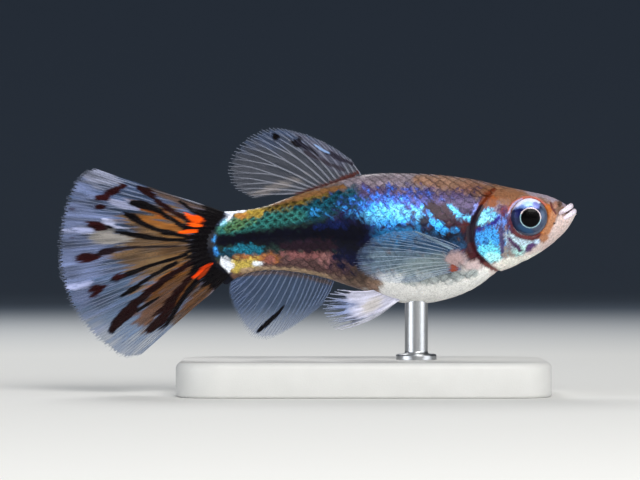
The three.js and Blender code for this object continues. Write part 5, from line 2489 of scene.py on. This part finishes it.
    def _ray_lines(self) -> tuple[Array, list[Face], Array]:
        """Lays out the forking rays.

        Returns:
            The points as t and s, the edges between them, and each point's thickness.
        """
        points = []
        edges = []
        thick = []
        full, fork_loss, run_loss = self.taper
        for ray in range(self.form.rays):
            branches = [(ray / self.gaps, ray / self.gaps, None)]
            low = 0.0
            for order, high in enumerate((*self.form.forks, 1.0)):
                grown = []
                lean = self.spread / self.gaps / 2**order
                for start, end, last in branches:
                    for k, s in enumerate(np.linspace(low, high, self.steps + 1)):
                        if last is not None and k == 0:
                            continue
                        points.append((start + (end - start) * k / self.steps, s))
                        thick.append((full - fork_loss * order) * (1 - run_loss * s))
                        if last is not None:
                            edges.append((last, len(points) - 1))
                        last = len(points) - 1
                    grown += [(end, end + way, last) for way in (-lean, lean) if 0 <= end + way <= 1]
                branches = grown
                low = high
        return np.array(points), edges, np.array(thick)

    def rays(self, rule: Rule) -> Object:
        """Builds the rays as fine tapering tubes.

        Args:
            rule: What turns a net of edges into tubes.

        Returns:
            The rays.
        """
        points, edges, thick = self._ray_lines()
        t, s = points.T
        past, cut = self.trim
        trimmed = s * np.where(s > past, 1 - cut * self.random.uniform(0, 1, len(points)), 1)
        places = self.middle(self._bend(t, trimmed), trimmed)
        name = self.form.name + "_rays"
        piece = new_piece(name, to_row(*places.T), edges=edges)
        for key, values in {"thick": thick, "share": t, "along": s}.items():
            write_values(piece.data, key, values)
        inputs = {"Radius": self.form.ray * MM, "Sides": self.sides, "Material": RayFinish(name).material()}
        rule.apply(piece, inputs)
        t, s = (read_values(piece.data, key) for key in ("share", "along"))
        coat = self._painted(from_row(read_values(piece.data, "position", 3)), t, s)
        bare = (1 - coat.veil) * self.form.pale
        coat.tint += bare[:, None] * (linear(self.pale) - coat.tint)
        coat.veil = (coat.veil + self.form.bony) * (1 - self.faint * smoothstep(*self.faint_reach, s))
        write_coat(piece.data, coat)
        return piece


def swing(places: Sequence[Place], hinge: Place, degrees: float) -> tuple[Place, ...]:
    """Turns places about a hinge.

    Args:
        places: The places, behind and up.
        hinge: The place that stays.
        degrees: The angle, positive from the tail's end downwards.

    Returns:
        The turned places.
    """
    c, s = math.cos(math.radians(degrees)), math.sin(math.radians(degrees))
    return tuple(
        (
            hinge[0] + (b - hinge[0]) * c + (u - hinge[1]) * s,
            hinge[1] + (u - hinge[1]) * c - (b - hinge[0]) * s,
        )
        for b, u in places
    )


@dataclass(frozen=True)
class FinSet:
    """All the fins, with the left ones made from the right ones.

    Attributes:
        seed: Of the first fin's random draws; each next fin's is one more.
        spread: Degrees by which the left pelvic fin hangs lower.
    """

    seed: int = 20
    spread: float = 9.0

    def build(self) -> None:
        """Builds every fin's web and rays, and puts them on the body."""
        pelvic = FinKind.PELVIC_RIGHT.value
        root, tips = (swing(line, pelvic.root[-1], self.spread) for line in (pelvic.root, pelvic.tips))
        left = (
            replace(FinKind.PECTORAL_RIGHT.value, name="pectoral_fin_left", node="pectoral_fin_left"),
            replace(pelvic, name="pelvic_fin_left", node="pelvic_fin_left", root=root, tips=tips),
        )
        plan = [(kind.value, Side.RIGHT) for kind in FinKind] + [(form, Side.LEFT) for form in left]
        rule = ray_rule()
        for seed, (form, side) in enumerate(plan, self.seed):
            fin = Fin(form, side, seed)
            settle(fin.web(), (form.node,))
            settle(fin.rays(rule))


@dataclass(frozen=True)
class Stand:
    """The base, and the rod that holds the fish over it.

    Attributes:
        bevel: Radius of the rounding along its upper edge.
        foot: Share of that radius that its lower edge has.
        rounding: Shares of a quarter turn at which the rounding has rings.
        collar_edge: Insets and shares of that height along the collar's rounded edge.
        tight: Shares of each stretch of the rod's outline that have rings.
    """

    corner: float = 4.0
    least: float = 0.4
    bevel: float = 0.55
    foot: float = 0.5
    rounding: tuple[float, ...] = (0.0, 0.08, 0.3, 0.65, 1.0)
    floor_insets: Place = (3.0, 0.6)
    top_insets: Place = (0.8, 3.0)
    corner_steps: int = 12
    rod_sides: int = 48
    core: float = 0.2
    sunk: float = 0.3
    into_belly: float = 0.5
    collar_radius: float = 1.75
    collar_height: float = 0.5
    collar_edge: tuple[Place, ...] = ((0.0, 0.7), (0.06, 0.92), (0.2, 1.0))
    fillet: float = 0.12
    tight: tuple[float, ...] = (0.0, 0.03, 0.97)

    def _tube(self, name: str, rings: Array, material: Material) -> Object:
        """Makes a closed piece of rings.

        Args:
            name: The piece's name.
            rings: Its rings, in millimetres.
            material: What it is made of.

        Returns:
            The piece.
        """
        faces = tube_faces(*rings.shape[:2])
        return orient(new_piece(name, with_ends(rings) * MM, faces, material))

    def slab(self) -> Object:
        """Builds the rounded base.

        Returns:
            The base.
        """
        low, high = (np.array(corner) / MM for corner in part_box("stand_base"))
        rings = [self._outline(low, high, *ring) for ring in self._profile(low[2], high[2])]
        return self._tube("stand_slab", np.array(rings), SlabFinish().material())

    def _profile(self, floor: float, top: float) -> list[Place]:
        """Lists the slab's rings, from the middle of its floor up.

        Args:
            floor: Height of its floor.
            top: Height of its top.

        Returns:
            Heights and insets.
        """
        turns = np.array(self.rounding) * math.pi / 2
        edge = [(self.bevel * (1 - math.cos(turn)), self.bevel * (1 - math.sin(turn))) for turn in turns]
        floor_rings = [(floor, inset) for inset in self.floor_insets]
        foot = [(floor + rise * self.foot, inset * self.foot) for rise, inset in edge]
        head = [(top - rise, inset) for rise, inset in reversed(edge)]
        return [*floor_rings, *foot, *head, *((top, inset) for inset in self.top_insets)]

    def _outline(self, low: Array, high: Array, height: float, inset: float) -> list[tuple[float, ...]]:
        """Draws one ring of the slab.

        Args:
            low: The slab's lowest corner.
            high: Its highest corner.
            height: The ring's height.
            inset: How far inside the slab's outline it lies.

        Returns:
            Its corners.
        """
        ring = []
        radius = max(self.corner - inset, self.least)
        for quarter, ways in enumerate(((1, 1), (-1, 1), (-1, -1), (1, -1))):
            ways = np.array(ways)
            centre = np.where(ways > 0, high[:2], low[:2]) - (inset + radius) * ways
            for step in range(self.corner_steps + 1):
                turn = math.pi / 2 * (quarter + step / self.corner_steps)
                ring.append((*(centre + radius * np.array((math.cos(turn), math.sin(turn)))), height))
        return ring

    def rod(self) -> Object:
        """Builds the rod with a collar at its foot.

        Returns:
            The rod.
        """
        low, high = (np.array(corner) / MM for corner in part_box("stand_rod"))
        radius = (high[0] - low[0]) / 2
        foot, top = low[2] - self.sunk, high[2] + self.into_belly
        shoulder = foot + self.collar_height
        collar = [
            (self.collar_radius - inset, foot + self.collar_height * share)
            for inset, share in self.collar_edge
        ]
        outline = np.array([
            (self.core, foot), (self.collar_radius, foot), *collar, (radius + self.fillet, shoulder),
            (radius, shoulder + self.fillet), (radius, top), (self.core, top),
        ])
        stretches = np.diff(outline, axis=0)[:, None] * np.array(self.tight)[:, None]
        profile = np.concatenate([(outline[:-1, None] + stretches).reshape(-1, 2), outline[-1:]])
        rings = revolve(profile, self.rod_sides, (low + high) / 2)
        return self._tube("stand_post", rings, RodFinish().material())


@dataclass(frozen=True)
class Lamp:
    """A soft area light aimed at the fish."""

    name: str
    at: tuple[float, float, float]
    watts: float
    size: float
    tint: Rgb = (1.0, 1.0, 1.0)


@dataclass(frozen=True)
class Studio:
    """Floor and backdrop, lamps and camera, in metres."""

    lamps: tuple[Lamp, ...] = (
        Lamp("key", (90, -270, 210), 1.05, 0.18, (1.0, 0.98, 0.95)),
        Lamp("left fill", (-250, -150, 24), 0.65, 0.2, (0.93, 0.96, 1.0)),
        Lamp("right fill", (260, -140, 24), 0.5, 0.2, (0.95, 0.97, 1.0)),
        Lamp("rim", (-60, 230, 230), 0.5, 0.16),
    )
    aim: tuple[float, float, float] = (0.0, 0.0, 0.0133)
    floor_rings: tuple[float, ...] = (0.02, 0.1, 0.6)
    wall: float = 1.1
    height: float = 1.3
    bend_steps: int = 12
    sides: int = 96
    sky: Rgb = (0.62, 0.67, 0.73)
    sky_strength: float = 0.32
    camera_at: tuple[float, float, float] = (0.00027, -0.3076, 0.01334)
    lens: float = 200.0
    sensor: float = 36.0
    clip: Place = (0.005, 5.0)

    def build(self) -> None:
        """Builds the whole studio."""
        self._bowl()
        for lamp in self.lamps:
            self._lamp(lamp)
        self._world()
        self._camera()

    def _bowl(self) -> None:
        """Builds a round floor that rises into a wall all round."""
        profile = [(radius, 0.0) for radius in self.floor_rings]
        floor = self.floor_rings[-1]
        bend = self.wall - floor
        for turn in np.linspace(0, math.pi / 2, self.bend_steps + 1)[1:]:
            profile.append((floor + bend * math.sin(turn), bend * (1 - math.cos(turn))))
        profile.append((self.wall, self.height))
        rings = revolve(profile, self.sides)
        flat = np.concatenate([rings.reshape(-1, 3), [(0, 0, 0)]])
        nexts = [(c, (c + 1) % self.sides) for c in range(self.sides)]
        starts = range(0, (len(profile) - 1) * self.sides, self.sides)
        faces = [(a + self.sides + c, a + self.sides + d, a + d, a + c) for a in starts for c, d in nexts]
        faces += [(len(flat) - 1, c, d) for c, d in nexts]
        new_piece("stage", flat, faces, StageFinish().material())

    def _lamp(self, lamp: Lamp) -> None:
        """Adds one area light.

        Args:
            lamp: The light.
        """
        data = bpy.data.lights.new(lamp.name, "AREA")
        data.energy = lamp.watts
        data.size = lamp.size
        data.color = lamp.tint
        made = bpy.data.objects.new(lamp.name, data)
        made.location = Vector(lamp.at) * MM
        made.rotation_euler = (Vector(self.aim) - made.location).to_track_quat("-Z", "Y").to_euler()
        made.visible_camera = False
        bpy.context.scene.collection.objects.link(made)

    def _world(self) -> None:
        """Sets a soft even sky."""
        world = bpy.data.worlds.new("sky")
        world.use_nodes = True
        background = world.node_tree.nodes["Background"]
        background.inputs["Color"].default_value = (*self.sky, 1)
        background.inputs["Strength"].default_value = self.sky_strength
        bpy.context.scene.world = world
        bpy.context.scene.view_settings.view_transform = "Standard"

    def _camera(self) -> None:
        """Looks at the right side square on, as the photograph does."""
        data = bpy.data.cameras.new("camera")
        data.lens = self.lens
        data.sensor_width = self.sensor
        data.clip_start, data.clip_end = self.clip
        camera = bpy.data.objects.new("camera", data)
        camera.location = self.camera_at
        camera.rotation_euler = (math.pi / 2, 0, 0)
        bpy.context.scene.collection.objects.link(camera)
        bpy.context.scene.camera = camera


BODY_NODES = ("head", "lower_jaw", "trunk", "tail_stem", "gill_cover_right", "gill_cover_left")
LIPS = (
    Lip("upper_lip", front=(0.52, 2.68), corner=(1.68, 1.98), half=1.5, thick=0.22),
    Lip("lower_lip", front=(0.24, 2.22), corner=(1.25, 1.56), half=1.38, thick=0.21),
)


def main() -> None:
    """Builds the model and its studio."""
    logging.basicConfig(level=logging.INFO, format="%(name)s: %(message)s")
    body_painter = Painter(BROWN, (*BODY_MARKS, *HEAD_MARKS), seed=1)
    skin = Skin(body_painter)
    settle(skin.build(), BODY_NODES)
    for coat in ScaleCoat(body_painter, skin.slit).build():
        settle(coat)
    lip_painter = Painter(LIP, LIP_MARKS, seed=6)
    for lip in LIPS:
        settle(lip.build(lip_painter))
    eye = Eye(Painter(IRIS, EYE_MARKS, seed=2))
    for side in Side:
        settle(eye.build(side), (f"eye_{side.name.lower()}",))
    FinSet().build()
    stand = Stand()
    settle(stand.slab(), ("stand_base",))
    settle(stand.rod(), ("stand_rod",))
    Studio().build()


if __name__ == "__main__":
    main()
